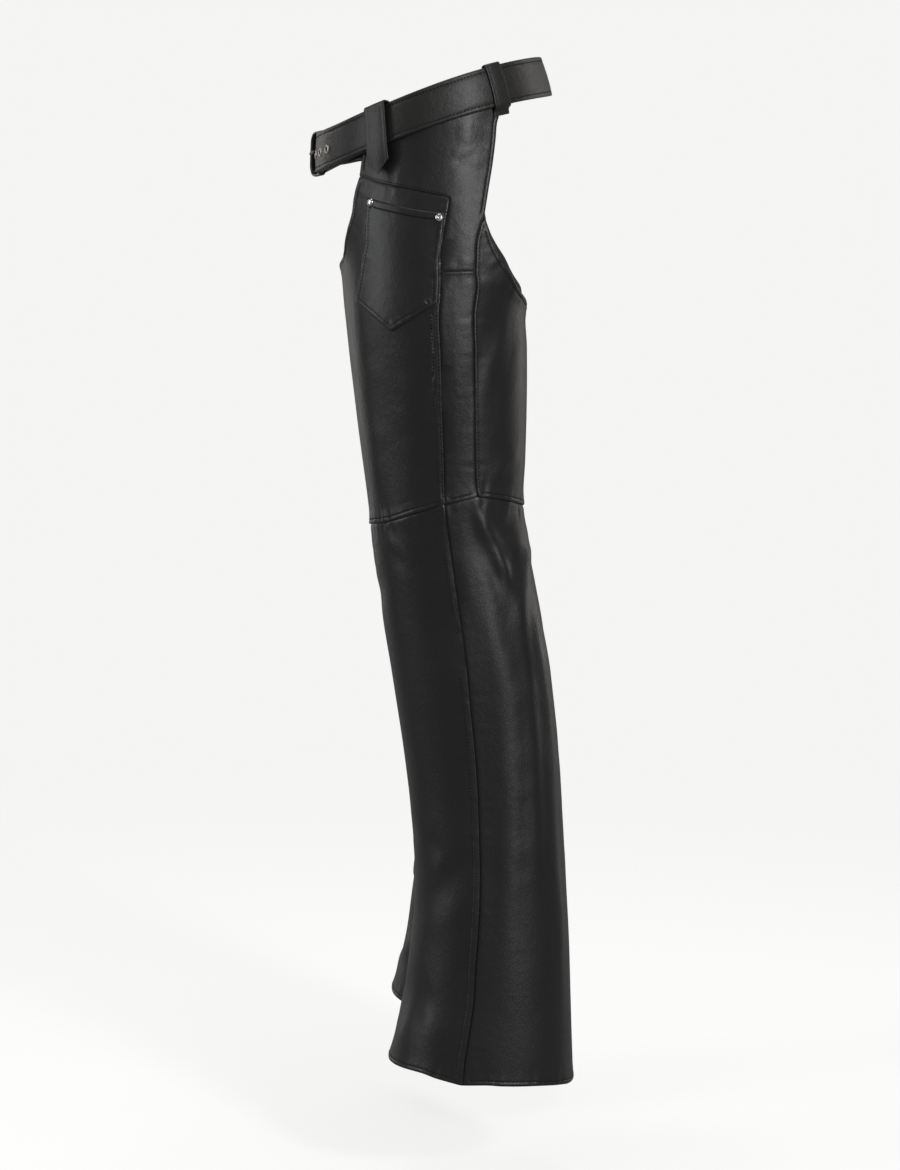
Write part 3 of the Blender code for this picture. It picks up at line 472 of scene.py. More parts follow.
def triangulate():
    """One fine mesh of the whole chart with every seam line in it."""
    points, edges, known = [], [], {}
    for line in LINES.values():
        ends = []
        for p in line:
            key = (round(p[0] / 1e-6), round(p[1] / 1e-6))
            if key not in known:
                known[key] = len(points)
                points.append(Vector(p))
            ends.append(known[key])
        edges += [pair for pair in zip(ends, ends[1:]) if pair[0] != pair[1]]
    extra = []
    for line in LINES.values():
        for row in SEAM_ROWS:
            for sign in (1, -1):
                made = beside(line, sign * row * MM)
                extra.append(made[clear_of_seams(made, 0.93 * row * MM)])
    for number, z in enumerate(np.arange(0.06, -0.965, -0.866 * FINE)):
        cx, cy, ax, ay = (float(v[0]) for v in section(np.array([z])))
        across = FINE / ((ax + ay) / 2) * CHART
        u = np.arange(-math.pi * CHART + across * (0.25 + 0.5 * (number % 2)), math.pi * CHART, across)
        made = np.column_stack([u, np.full(len(u), z)])
        extra.append(made[clear_of_seams(made, (SEAM_ROWS[-1] + 1.5) * MM)])
    extra = np.vstack(extra)
    extra = extra[np.unique(np.round(extra / (0.55 * MM)), axis=0, return_index=True)[1]]
    kept = np.zeros(len(extra), dtype=bool)
    for panel in PANELS:
        kept |= inside(extra, LOOPS_OF[panel])
    points += [Vector(p) for p in extra[kept]]
    made = delaunay_2d_cdt(points, edges, [], 0, 1e-7)
    chart = np.array([tuple(p) for p in made[0]])
    faces = np.array([face for face in made[2] if len(face) == 3])
    a, b, c = (chart[faces[:, i]] for i in range(3))
    flipped = np.cross(b - a, c - a) < 0
    faces[flipped] = faces[flipped][:, ::-1]
    return chart, faces


# ---- relief ----

def fold_lift(theta, z):
    total = np.zeros(len(theta))
    for centre, height, half_length, half_width, turn, depth in FOLDS:
        round_leg = (theta - math.radians(centre) + math.pi) % (2 * math.pi) - math.pi
        across, down = round_leg * CHART, z - height * MM
        c, s = math.cos(math.radians(turn)), math.sin(math.radians(turn))
        a = (across * c - down * s) / (half_width * MM)
        b = (across * s + down * c) / (half_length * MM)
        total += depth * MM * np.exp(-a * a - b**4)
    return total


def waves(along, seed, lengths):
    """Irregular waves along a line: a few sines of near lengths, from -1 to 1."""
    luck = np.random.default_rng(seed)
    total = sum(np.sin(2 * math.pi * along / (length * MM) + luck.uniform(0, 6.28)) for length in lengths)
    return total / len(lengths) ** 0.5


def swell(spots, seed, size, height, stretch=0.55):
    """Low uneven waves of the whole surface, longer down the leg."""
    luck = np.random.default_rng(seed)
    total = np.zeros(len(spots))
    for _ in range(9):
        way = luck.normal(size=3)
        way = way / np.linalg.norm(way) * 2 * math.pi / (size * luck.uniform(0.6, 1.7))
        total += np.sin(spots @ (way * (1, 1, stretch)) + luck.uniform(0, 6.28))
    return total * height / 3


def crease_lift(spots, creases, seed):
    """Listed creases: each a ridge or trough with a softer one beside it, its width uneven."""
    total = np.zeros(len(spots))
    for number, (kind, half_width, height, rows) in enumerate(creases):
        path = smooth_path(from_side(rows) if kind == "side" else from_round(rows), 3 * MM)
        line = on_surface(path)
        reach = distance_along(line)
        low, high = line.min(axis=0) - 4.5 * half_width * MM, line.max(axis=0) + 4.5 * half_width * MM
        near = np.flatnonzero(((spots > low) & (spots < high)).all(axis=1))
        if not len(near):
            continue
        mine = spots[near]
        index = np.concatenate([
            np.argmin(((part[:, None] - line[None]) ** 2).sum(2), axis=1)
            for part in np.array_split(mine, len(mine) // 4000 + 1)])
        way = unit(np.gradient(line, axis=0))[index]
        outward = unit(np.cross(*slopes(path[:, 0] / CHART, path[:, 1])))[index]
        away = mine - line[index]
        side = (np.cross(outward, way) * away).sum(1)
        along = reach[index] + (way * away).sum(1)
        share = np.clip(along / reach[-1], 0, 1)
        over = np.maximum(0, np.maximum(-along, along - reach[-1])) / (half_width * MM)
        wobble = waves(along, seed + number, (31, 47, 83)) * min(1, 0.14 / reach[-1])
        width = half_width * MM * (0.75 + 0.55 * np.sin(math.pi * share)) * (1 + 0.12 * wobble)
        a = (side - 0.18 * half_width * MM * wobble) / width
        steep = np.where(a > 0, 1.35, 0.85)
        shape = np.exp(-(a * steep) ** 2) - 0.42 * np.exp(-((a - 1.9) / 1.1) ** 2)
        ends = np.clip(np.minimum(share, 1 - share) * 3.2, 0, 1)
        ends = (0.12 + 0.88 * ends * ends * (3 - 2 * ends)) * np.exp(-(over / 1.6) ** 2)
        total[near] += height * MM * shape * ends * (1 + 0.15 * wobble)
    return total


def edge_relief(panel, spots):
    """Turned edges, laps, stitch grooves and puckers of one panel."""
    up, down, pulled = (np.zeros(len(spots)) for _ in range(3))
    for seam, profile, _rows in EDGES[panel]:
        gap, along = nearest(spots, seam)
        table = np.array(PROFILES[profile])
        height = np.interp(gap / MM, table[:, 0], table[:, 1]) * MM
        up, down = np.maximum(up, height), np.minimum(down, height)
        if seam in PUCKERS:
            high, reach = PUCKERS[seam]
            seed = sum(map(ord, seam))
            wave = waves(along, seed, (9.5, 13, 21)) * (0.65 + 0.35 * waves(along, seed + 1, (70, 110)))
            fade = np.exp(-((gap / MM - 4) / reach) ** 2) * np.clip(gap / MM / 3, 0.25, 1)
            pulled += high * MM * wave * fade
    return up + down + pulled


def inside_level(panel, spots):
    """How far the inside of a panel lies from its unrelieved outside."""
    level = np.full(len(spots), -WALL / MM)
    for seam, profile, _rows in EDGES[panel]:
        if profile in INSIDE:
            gap = nearest(spots, seam)[0] / MM
            level = np.maximum(level, np.interp(gap, (0, 4, 12), (INSIDE[profile], INSIDE[profile], -WALL / MM)))
    return level * MM


def broad_lift(chart, far):
    """Folds, creases and swell: how far the leather lies out from the bare surface."""
    theta, z = chart[:, 0] / CHART, chart[:, 1]
    spots = on_surface(chart)
    still = np.clip((-z / MM - 20) / 60, 0, 1)  # the belt holds the leather flat at the waist
    side = CREASES_FAR if far else CREASES_OUTER
    total = fold_lift(theta, z) + crease_lift(spots, side, 40 if far else 10)
    total += crease_lift(spots, CREASES_INNER[::-1] if far else CREASES_INNER, 70 if far else 55)
    total += (swell(spots, 5 + far, 0.13, 0.6 * MM) + swell(spots, 15 + far, 0.042, 0.16 * MM)) * still
    return total


def height_of(panel, chart, far):
    """How far the outside of a panel lies out from the bare surface."""
    return broad_lift(chart, far) + edge_relief(panel, on_surface(chart))


# ---- meshes ----

def make_piece(name, vertices, faces, looks, face_looks=None, sharp=40.0):
    mesh = bpy.data.meshes.new(name)
    mesh.from_pydata(np.asarray(vertices).tolist(), [], [list(map(int, f)) for f in faces])
    for look in looks:
        mesh.materials.append(look)
    if face_looks is not None:
        mesh.polygons.foreach_set("material_index", np.asarray(face_looks, dtype=np.int32))
    mesh.polygons.foreach_set("use_smooth", np.ones(len(mesh.polygons), dtype=bool))
    mesh.set_sharp_from_angle(angle=math.radians(sharp))
    mesh.update()
    piece = bpy.data.objects.new(name, mesh)
    bpy.context.scene.collection.objects.link(piece)
    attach(piece, "root")
    return piece


def mirrored(vertices, faces):
    return vertices * (-1, 1, 1), [tuple(face)[::-1] for face in faces]


def border_edges(faces):
    directed = set()
    for face in faces:
        directed.update(zip(face, (*face[1:], face[0])))
    return [(a, b) for a, b in directed if (b, a) not in directed]


def pull_in(points, normals, edges, amounts):
    """Border points moved into their piece, in the surface, by each border edge's amount."""
    a, b = np.array(edges).T
    along = unit(points[b] - points[a])
    total, ways = np.zeros_like(points), np.zeros_like(points)
    for end in (a, b):
        inward = unit(np.cross(normals[end], along))
        np.add.at(total, end, inward * amounts[:, None])
        np.add.at(ways, end, inward)
    size = np.maximum((ways**2).sum(axis=1) / 2, 1)  # 2 where both edges run on, 1 at a square corner
    return points + total / size[:, None]


def border_amounts(panel, spots, edges):
    """How far each border edge moves in: half the gap, or out under a neighbour."""
    a, b = np.array(edges).T
    amounts = np.full(len(edges), GAP / 2)
    for seam, profile, _rows in EDGES[panel]:
        if profile == "under":
            on = nearest(spots, seam)[0] < 0.05 * MM
            amounts[on[a] & on[b]] = -TONGUE
    return amounts


def shell(outer, inner, faces, edges):
    count = len(outer)
    solid = [tuple(face) for face in faces]
    solid += [tuple(count + i for i in face[::-1]) for face in faces]
    solid += [(b, a, count + a, count + b) for a, b in edges]
    looks = [0] * len(faces) + [1] * len(faces) + [0] * len(edges)
    return np.vstack([outer, inner]), solid, looks


PIECES = {}


def build_panels(chart, faces, looks):
    centres = chart[faces].mean(axis=1)
    for panel, loop in LOOPS_OF.items():
        mine = faces[inside(centres, loop)]
        used, place = np.unique(mine, return_inverse=True)
        place = place.reshape(mine.shape)
        flat = chart[used]
        edges = border_edges(place.tolist())
        theta, z = flat[:, 0] / CHART, flat[:, 1]
        normals = normal(theta, z)
        rest = bare(theta, z)
        spots = pull_in(rest, normals, edges, border_amounts(panel, rest, edges))
        relief, level = edge_relief(panel, rest), inside_level(panel, rest)
        if panel == "pocket":
            relief, level = relief + GAP + POCKET_WALL, np.full(len(rest), GAP)
        for side, far in (("left", False), ("right", True)):
            broad = broad_lift(flat, far)
            lift, under = broad + relief, broad + level
            outer = spots + normals * lift[:, None]
            inner = spots + normals * under[:, None]
            vertices, solid, face_looks = shell(outer, inner, place, edges)
            if far:
                vertices, solid = mirrored(vertices, solid)
            name = f"{side}_{panel}"
            piece = make_piece("skin_" + name, vertices, solid, looks, face_looks)
            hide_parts(name)
            PIECES[name] = piece


def capsules(starts, ends, outward, radius):
    """One mesh of short threads between the starts and the ends."""
    along = unit(ends - starts)
    aside = unit(np.cross(outward, along))
    up = np.cross(along, aside)
    rings = ((0.0, 0.25), (0.12, 0.8), (0.5, 1.0), (0.88, 0.8), (1.0, 0.25))
    turns = np.linspace(0, 2 * math.pi, 6, endpoint=False)
    spots = []
    for share, size in rings:
        middle = starts + (ends - starts) * share
        for turn in turns:
            spots.append(middle + (aside * math.cos(turn) + up * math.sin(turn)) * radius * size)
    vertices = np.stack(spots, axis=1).reshape(-1, 3)
    template = []
    for i in range(len(rings) - 1):
        for k in range(6):
            a, b = i * 6, i * 6 + 6
            template.append((a + k, a + (k + 1) % 6, b + (k + 1) % 6, b + k))
    template += [(5, 4, 3, 2, 1, 0), tuple(len(rings) * 6 - 6 + k for k in range(6))]
    size = len(rings) * 6
    faces = [tuple(i + n * size for i in face) for n in range(len(starts)) for face in template]
    return vertices, faces


def stitch_rows(panel, far):
    """Starts, ends and outward directions of the threads of one panel."""
    starts, ends, out = [], [], []
    for seam, _profile, rows in EDGES[panel]:
        for row in rows:
            for sign in (1, -1):
                path = beside(LINES[seam], sign * row * MM)
                good = inside(path, LOOPS_OF[panel]) & clear_of_seams(path, 0.9 * row * MM)
                runs = np.split(np.arange(len(path)), np.flatnonzero(~good))
                for run in runs:
                    run = run[good[run]]
                    if len(run) < 4:
                        continue
                    line = path[run]
                    reach = distance_along(on_surface(line))
                    places = np.arange(0.5 * MM, reach[-1] - STITCH_LENGTH, STITCH_PITCH)
                    pair = [np.column_stack([np.interp(places + extra, reach, c) for c in line.T])
                            for extra in (0, STITCH_LENGTH)]
                    both = np.vstack(pair)
                    level = height_of(panel, both, far) + (GAP + POCKET_WALL if panel == "pocket" else 0)
                    away = normal(both[:, 0] / CHART, both[:, 1])
                    spots = on_surface(both) + away * (level + 0.12 * MM)[:, None]
                    starts.append(spots[:len(places)])
                    ends.append(spots[len(places):])
                    out.append(away[:len(places)])
    return [np.vstack(part) for part in (starts, ends, out)] if starts else None


def build_stitches(look):
    for side, far in (("left", False), ("right", True)):
        for panel in PANELS:
            rows = stitch_rows(panel, far)
            if rows is None:
                continue
            vertices, faces = capsules(*rows, STITCH_RADIUS)
            if far:
                vertices, faces = mirrored(vertices, faces)
            piece = make_piece(f"thread_{side}_{panel}", vertices, faces, [look], sharp=80)


# ---- belt, loops and tab ----

def waist_skin(theta, z, out):
    return bare(theta, z, True) + normal(theta, z, True) * np.reshape(out, (-1, 1))


def belt_line():
    angles = np.linspace(-math.pi / 2, 1.5 * math.pi, 721)
    return angles, distance_along(waist_skin(angles, belt_height(angles), np.full(721, BELT_CLEAR)))


BELT_ANGLES, BELT_REACHED = belt_line()
BELT_LENGTH = float(BELT_REACHED[-1])


def belt_point(along, across, out):
    along, across, out = np.broadcast_arrays(*(np.asarray(v, float) for v in (along, across, out)))
    theta = np.interp((along.ravel() + BUCKLE_AT) % BELT_LENGTH, BELT_REACHED, BELT_ANGLES)
    return waist_skin(theta, belt_height(theta) + across.ravel(), out.ravel())


def belt_frame(along, across, out):
    here = belt_point(along, across, out)[0]
    up = unit(belt_point(along, across + MM, out)[0] - here)
    away = unit(belt_point(along, across, out + MM)[0] - here)
    return here, unit(np.cross(up, away)), up, away


def grid_faces(rows, columns, closed_rows=False, closed_columns=False):
    faces = []
    for i in range(rows if closed_rows else rows - 1):
        for j in range(columns if closed_columns else columns - 1):
            a, b = i * columns, ((i + 1) % rows) * columns
            k = (j + 1) % columns
            faces.append((a + j, b + j, b + k, a + k))
    return faces


def strap_path():
    """Middle line of the whole strap in mm: along the ring, out from the panels, wall."""
    turn = BELT_LENGTH / MM
    rows = [*STRAP_START, *((turn * k / 12, 2.5, 4.0) for k in range(2, 11)),
            *((turn + a, o, w) for a, o, w in STRAP_TAIL)]
    return smooth_path(rows, 2.0) * MM


STRAP_FACE = (  # mm from the strap's middle line, mm over its flat face
    (19, -1.2), (18.75, -0.55), (18.2, -0.12), (17.2, 0.08), (16.0, 0.05), (15.4, -0.22), (14.9, -0.34),
    (14.4, -0.22), (13.7, 0.0), (11, 0.15), (7, 0.2), (0, 0.25),
)


def build_belt(look, thread_look):
    path = strap_path()
    way = unit(np.gradient(path[:, :2], axis=0))
    across = [w for w, _ in STRAP_FACE] + [-w for w, _ in STRAP_FACE[-2::-1]]
    rise = [h for _, h in STRAP_FACE] + [h for _, h in STRAP_FACE[-2::-1]]
    count = len(across)
    spots = []
    for sign in (1, -1):
        columns = range(count) if sign == 1 else range(count - 1, -1, -1)
        for k in columns:
            thick = path[:, 2] / 2 + (rise[k] if sign == 1 else min(rise[k], 0)) * MM * path[:, 2] / BELT_WALL
            along = path[:, 0] - way[:, 1] * sign * thick
            out = path[:, 1] + way[:, 0] * sign * thick
            spots.append(belt_point(along, across[k] * MM, out))
    vertices = np.stack(spots, axis=1).reshape(-1, 3)
    rows = len(path)
    faces = grid_faces(rows, 2 * count, closed_columns=True)
    faces += [tuple(range(2 * count)), tuple((rows - 1) * 2 * count + k for k in range(2 * count))[::-1]]
    piece = make_piece("skin_belt_strap", vertices, faces, [look], sharp=60)
    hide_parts("belt_strap")
    PIECES["belt_strap"] = piece
    starts, ends, out = [], [], []
    reach = distance_along(path[:, :2])
    places = np.arange(3 * MM, reach[-1] - 4 * MM, STITCH_PITCH)
    for w in (14.9 * MM, -14.9 * MM):
        pair = []
        for extra in (0, STITCH_LENGTH):
            a, o, t = (np.interp(places + extra, reach, c) for c in path.T)
            wx, wy = (np.interp(places + extra, reach, c) for c in way.T)
            thick = t / 2 - 0.2 * MM
            pair.append(belt_point(a - wy * thick, w, o + wx * thick))
            if not extra:
                out.append(unit(belt_point(a - wy * (thick + MM), w, o + wx * (thick + MM)) - pair[0]))
        starts.append(pair[0])
        ends.append(pair[1])
    vertices, faces = capsules(np.vstack(starts), np.vstack(ends), np.vstack(out), STITCH_RADIUS)
    make_piece("thread_belt_strap", vertices, faces, [thread_look], sharp=80)


def loop_profile(level, low):
    rows = [(YOKE_TOP / MM + 0.4, -0.9), (17, -0.9), (19.6, -0.6), (20.6, 0.7), (20.8, level - 1.6),
            (20.2, level - 0.4), (18.6, level), (9, level), (-2, level), (-12, level), (-17.5, level)]
    if low < -30:
        rows += [(-22, level - 0.2), (-27, level - 0.7), (-31, level - 1.3), (low, level - 2.0)]
    else:
        rows += [(-19.8, level - 0.5), (-21.2, max(level - 2.6, 2.4)), (-23.2, 1.5), (low, 1.1)]
    return rows


LOOP_FACE = (  # share of half the width, mm over the flat face
    (1.0, -0.55), (0.97, -0.12), (0.9, 0.12), (0.8, 0.1), (0.72, -0.2), (0.64, 0.0), (0.3, 0.1), (0, 0.12),
)


def build_loops(look):
    shares = [s for s, _ in LOOP_FACE] + [-s for s, _ in LOOP_FACE[-2::-1]]
    rise = [h for _, h in LOOP_FACE] + [h for _, h in LOOP_FACE[-2::-1]]
    for name, (y_top, y_low, width, low, tip) in LOOPS.items():
        for side in ("left", "right"):
            tail = side == "left" and name == "loop_front"
            ring_top = (BELT_CLEAR + BELT_WALL) / MM
            level = (TAIL_LEVEL + BELT_WALL / MM / 2 if tail else ring_top) + LOOP_CLEAR + LOOP_WALL / MM / 2
            path = smooth_path(loop_profile(level, low), 1.3) * MM
            way = unit(np.gradient(path, axis=0))
            spots = []
            for sign in (1, -1):
                order = range(len(shares)) if sign == 1 else range(len(shares) - 1, -1, -1)
                for k in order:
                    thick = LOOP_WALL / 2 + (rise[k] if sign == 1 else min(rise[k], 0)) * MM * 0.8
                    w = path[:, 0] - way[:, 1] * sign * thick * -1
                    o = path[:, 1] + way[:, 0] * sign * thick * -1
                    mix = np.clip((20 * MM - w) / (20 * MM - low * MM), 0, 1)
                    y = (y_top + (y_low - y_top) * mix + shares[k] * width / 2) * MM
                    close = np.clip((-20 * MM - w) / (-20 * MM - low * MM), 0, 1)
                    w = w + (tip - low) * MM * (1 - abs(shares[k])) * close
                    theta = theta_at(y, np.zeros(len(y)), True)
                    spots.append(waist_skin(theta, belt_height(theta) + w, o))
            vertices = np.stack(spots, axis=1).reshape(-1, 3)
            columns, rows = 2 * len(shares), len(path)
            faces = grid_faces(rows, columns, closed_columns=True)
            faces += [tuple(range(columns)), tuple((rows - 1) * columns + k for k in range(columns))[::-1]]
            if side == "right":
                vertices, faces = mirrored(vertices, faces)
            piece = make_piece(f"skin_{side}_{name}", vertices, faces, [look], sharp=60)
            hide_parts(f"{side}_{name}")
            PIECES[f"{side}_{name}"] = piece


def build_tab(look):
    """Front tab behind the belt, its ends under the yokes, its lower edge turned and stitched."""
    line = LINES["yoke_front"]
    angles, heights = line[::-1, 0] / CHART, line[::-1, 1]
    shares = np.r_[0, 0.4, 1.1, 2.2, 3.4, 4.4, 5.4, 7, np.linspace(10, 38, 9)] / 38
    relief = np.array([-0.3, 0.3, 0.6, 0.6, 0.4, -0.05, 0.15, 0.05, *([0] * 9)]) * MM
    half = 36
    sheets = []
    for sign in (0, 1):
        spots = []
        for share, high in zip(shares, relief):
            lift, lift_midway = (low + (YOKE_TOP - low) * share for low in TAB_LOW)
            theta = float(angles[-1])
            for _ in range(12):
                level = belt_height(np.array([theta]))[0] + lift
                theta = float(np.interp(level, heights, angles))
            part = np.linspace(0, 1, half + 1)
            turn = theta + 0.016 * (1 - part) ** 8 + (-math.pi / 2 - theta) * part
            z = belt_height(turn) + lift + (lift_midway - lift) * part
            out = high - WALL * sign - np.interp(part, (0, 0.03, 0.08), (2.1 * MM, 1.9 * MM, 0))
            row = waist_skin(turn, z, out)
            spots.append(np.vstack([row, (row * (-1, 1, 1))[-2::-1]]))
        sheets.append(np.stack(spots))
    columns = 2 * half + 1
    faces = grid_faces(len(shares), columns)
    vertices, solid, _looks = shell(*(sheet.reshape(-1, 3) for sheet in sheets), faces, border_edges(faces))
    piece = make_piece("skin_front_tab", vertices, solid, [look])
    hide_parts("front_tab")
    PIECES["front_tab"] = piece


# ---- metal ----

HEEL, TIP, SIDE = 10.4, -24.5, 20.7       # mm: the buckle's bars along the belt, its rails up and down
FRAME_LEVEL = ((-24.5, 11.5), (-21, 10.7), (-17, 9.6), (-8, 8.0), (2, 6.2), (10, 4.1))  # mm along, mm out
FRAME_WIDE = ((-24.5, 2.9), (-20, 2.2), (-16, 1.4), (6, 1.35), (10.4, 1.1))   # mm along, half width
FRAME_DEEP = ((-24.5, 3.4), (-18, 2.6), (4, 2.3), (9, 1.1))                              # mm along, half thickness
PRONG = (  # mm along, mm out, half width, half thickness
    (7.4, 13.4, 1.3, 0.9), (5.2, 14.0, 1.6, 1.0), (3.2, 14.5, 1.7, 1.0), (-3, 14.7, 1.7, 1.0),
    (-10, 14.7, 1.6, 0.9), (-18, 14.8, 1.5, 0.8), (-22, 15.2, 1.4, 0.5), (-24.4, 15.3, 1.1, 0.4),
)
EYELET_DROP = -2.4 * MM
EYELET_RING = (  # radius mm, height mm
    (2.4, 0.2), (2.45, 0.6), (2.75, 0.95), (3.4, 1.0), (4.0, 0.75), (4.45, 0.35), (4.6, 0.0), (2.6, -0.1),
)
RIVET_PLAIN = (
    (3.3, -0.9), (3.6, 0), (3.75, 0.25), (3.75, 0.6), (3.4, 1.1), (2.7, 1.6), (1.8, 1.9), (0.9, 2.02), (0.2, 2.05),
)
STUD_RING = (
    (3.9, -0.35), (3.7, 0.0), (3.3, 0.3), (2.8, 0.42), (2.3, 0.3), (1.8, 0.05), (1.2, 0.0), (0.2, 0.05),
)
RIVET_DIMPLED = (
    (3.3, -0.9), (3.6, 0), (3.75, 0.25), (3.75, 0.6), (3.4, 1.1), (2.8, 1.55), (2.1, 1.75), (1.6, 1.65), (1.25, 1.2),
    (1.1, 0.8), (0.2, 0.75),
)


def table_at(key, table):
    keys, values = np.array(sorted(table), dtype=float).T
    return np.interp(key, keys, values)


def bar(name, path, wide, deep, closed, look):
    """Rounded bar along belt places (along, across, out) in mm, with half sizes in mm."""
    spots = belt_point(*(path.T * MM))
    ahead, behind = np.roll(spots, -1, axis=0), np.roll(spots, 1, axis=0)
    if not closed:
        ahead[-1], behind[0] = spots[-1], spots[0]
    tangent = unit(ahead - behind)
    away = np.array([belt_frame(*(p * MM))[3] for p in path])
    side = unit(np.cross(tangent, away))
    away = np.cross(side, tangent)
    turns = np.linspace(0, 2 * math.pi, 20, endpoint=False)
    rings = [spots + side * (wide * MM * signed_power(math.cos(t), 0.8))[:, None]
             + away * (deep * MM * signed_power(math.sin(t), 0.8))[:, None] for t in turns]
    vertices = np.stack(rings, axis=1).reshape(-1, 3)
    faces = grid_faces(len(path), 20, closed_rows=closed, closed_columns=True)
    if not closed:
        faces += [tuple(range(20)), tuple((len(path) - 1) * 20 + k for k in range(20))[::-1]]
    piece = make_piece("skin_" + name, vertices, faces, [look], sharp=50)
    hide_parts(name)


def build_buckle(look):
    ring = []
    corners = ((HEEL, SIDE, 2.2), (TIP, SIDE, 10), (TIP, -SIDE, 10), (HEEL, -SIDE, 2.2))
    for quarter, (along, across, radius) in enumerate(corners):
        middle = (along - math.copysign(radius, along), across - math.copysign(radius, across))
        for k in range(9):
            turn = math.pi / 2 * (quarter + k / 8)
            ring.append((middle[0] + radius * math.cos(turn), middle[1] + radius * math.sin(turn)))
    ring = np.array([*ring, ring[0]])
    reach = distance_along(ring)
    wanted = np.linspace(0, reach[-1], 121)[:-1]
    along, across = (np.interp(wanted, reach, column) for column in ring.T)
    path = np.column_stack([along, across, table_at(along, FRAME_LEVEL)])
    bar("buckle_frame", path, table_at(along, FRAME_WIDE), table_at(along, FRAME_DEEP), True, look)
    rows = smooth_path(PRONG, 0.8)
    path = np.column_stack([rows[:, 0], np.zeros(len(rows)), rows[:, 1]])
    bar("buckle_prong", path, rows[:, 2], rows[:, 3], False, look)


def turned_piece(name, centre, across, up, away, rings, hollow, look, slot="silver_metal", mirror=False):
    sides = 40
    turns = np.linspace(0, 2 * math.pi, sides, endpoint=False)[:, None]
    vertices = np.vstack([
        centre + (across * np.cos(turns) + up * np.sin(turns)) * radius * MM + away * height * MM
        for radius, height in rings])
    faces = grid_faces(len(rings), sides, closed_rows=hollow, closed_columns=True)
    faces = [face[::-1] for face in faces]
    if not hollow:
        last = (len(rings) - 1) * sides
        faces += [tuple(range(sides))[::-1], tuple(last + k for k in range(sides))]
    if mirror:
        vertices, faces = mirrored(vertices, faces)
    piece = make_piece("skin_" + name, vertices, faces, [look], sharp=70)
    if slot == "silver_metal":
        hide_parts(name)


def build_metal(look, eyelet_look, hide_look):
    path = strap_path()
    tail = path[path[:, 0] > BELT_LENGTH / 2]
    for number, along in enumerate(EYELETS, start=1):
        reach = BELT_LENGTH + np.array([along - 3, along, along + 3]) * MM
        before, middle, after = np.interp(reach, tail[:, 0], tail[:, 1])
        centre, across, up, away = belt_frame(along * MM, EYELET_DROP, middle + BELT_WALL / 2 + 0.3 * MM)
        across = unit(across * (6 * MM) + away * (after - before))
        turned_piece(f"eyelet_{number}", centre, across, up, np.cross(across, up), EYELET_RING, True,
                     eyelet_look)
    for side, far in (("left", False), ("right", True)):
        for kind, spot, rings in (("pocket_rivet_1", POCKET_RIVETS[0], RIVET_PLAIN),
                                  ("pocket_rivet_2", POCKET_RIVETS[1], RIVET_DIMPLED),
                                  ("pocket_stud", POCKET_STUD, STUD_RING)):
            metallic = "rivet" in kind
            chart = from_side([spot])
            theta, z = chart[:, 0] / CHART, chart[:, 1]
            away = normal(theta, z)[0]
            rim = chart + np.array([(0, 0), (2, 0), (-2, 0), (0, 2.6), (0, -2.6)]) * MM
            lift = height_of("pocket", rim, far).max() + GAP + POCKET_WALL
            across = unit(np.cross((0, 0, 1), away))
            turned_piece(f"{side}_{kind}", bare(theta, z)[0] + away * lift, across, np.cross(away, across), away,
                         rings, False, look if metallic else hide_look,
                         "silver_metal" if metallic else "black_leather", mirror=far)


# ---- looks ----

def nodes_of(name):
    look = bpy.data.materials.new(name)
    look.use_nodes = True
    tree = look.node_tree
    return look, tree, tree.nodes["Principled BSDF"]


def link(tree, source, target):
    tree.links.new(source, target)


def add_node(tree, kind, **values):
    node = tree.nodes.new(kind)
    for key, value in values.items():
        if hasattr(node, key):
            setattr(node, key, value)
        else:
            node.inputs[key].default_value = value
    return node


def leather(name, dark, light, rough, grain, sheen, specular=0.5):
    """Black leather: fine grain, small pores, uneven sheen."""
    look, tree, shader = nodes_of(name)
    place = add_node(tree, "ShaderNodeTexCoord")
    broad = add_node(tree, "ShaderNodeTexNoise", Scale=14.0, Detail=4.0)
    tone = add_node(tree, "ShaderNodeMix", data_type="RGBA")
    tone.inputs[6].default_value = (*dark, 1)
    tone.inputs[7].default_value = (*light, 1)
    cells = add_node(tree, "ShaderNodeTexVoronoi", feature="DISTANCE_TO_EDGE", Scale=950.0)
    speck = add_node(tree, "ShaderNodeTexNoise", Scale=620.0, Detail=3.0)
    pebble = add_node(tree, "ShaderNodeTexNoise", Scale=150.0, Detail=3.0, Roughness=0.6)
    both = add_node(tree, "ShaderNodeMath", operation="MULTIPLY_ADD")
    bump = add_node(tree, "ShaderNodeBump", Strength=grain, Distance=0.0003)
    uneven = add_node(tree, "ShaderNodeBump", Strength=grain, Distance=0.0012)
    shine = add_node(tree, "ShaderNodeMapRange")
    shine.inputs["To Min"].default_value = rough - 0.08
    shine.inputs["To Max"].default_value = rough + 0.10
    for texture in (broad, cells, speck, pebble):
        link(tree, place.outputs["Object"], texture.inputs["Vector"])
    link(tree, broad.outputs["Fac"], tone.inputs[0])
    link(tree, tone.outputs[2], shader.inputs["Base Color"])
    link(tree, broad.outputs["Fac"], shine.inputs["Value"])
    link(tree, shine.outputs["Result"], shader.inputs["Roughness"])
    link(tree, cells.outputs["Distance"], both.inputs[0])
    both.inputs[1].default_value = 1.4
    link(tree, speck.outputs["Fac"], both.inputs[2])
    link(tree, both.outputs[0], bump.inputs["Height"])
    link(tree, pebble.outputs["Fac"], uneven.inputs["Height"])
    link(tree, uneven.outputs["Normal"], bump.inputs["Normal"])
    link(tree, bump.outputs["Normal"], shader.inputs["Normal"])
    shader.inputs["Specular IOR Level"].default_value = specular
    shader.inputs["Sheen Weight"].default_value = sheen
    shader.inputs["Sheen Roughness"].default_value = 0.5
    return look


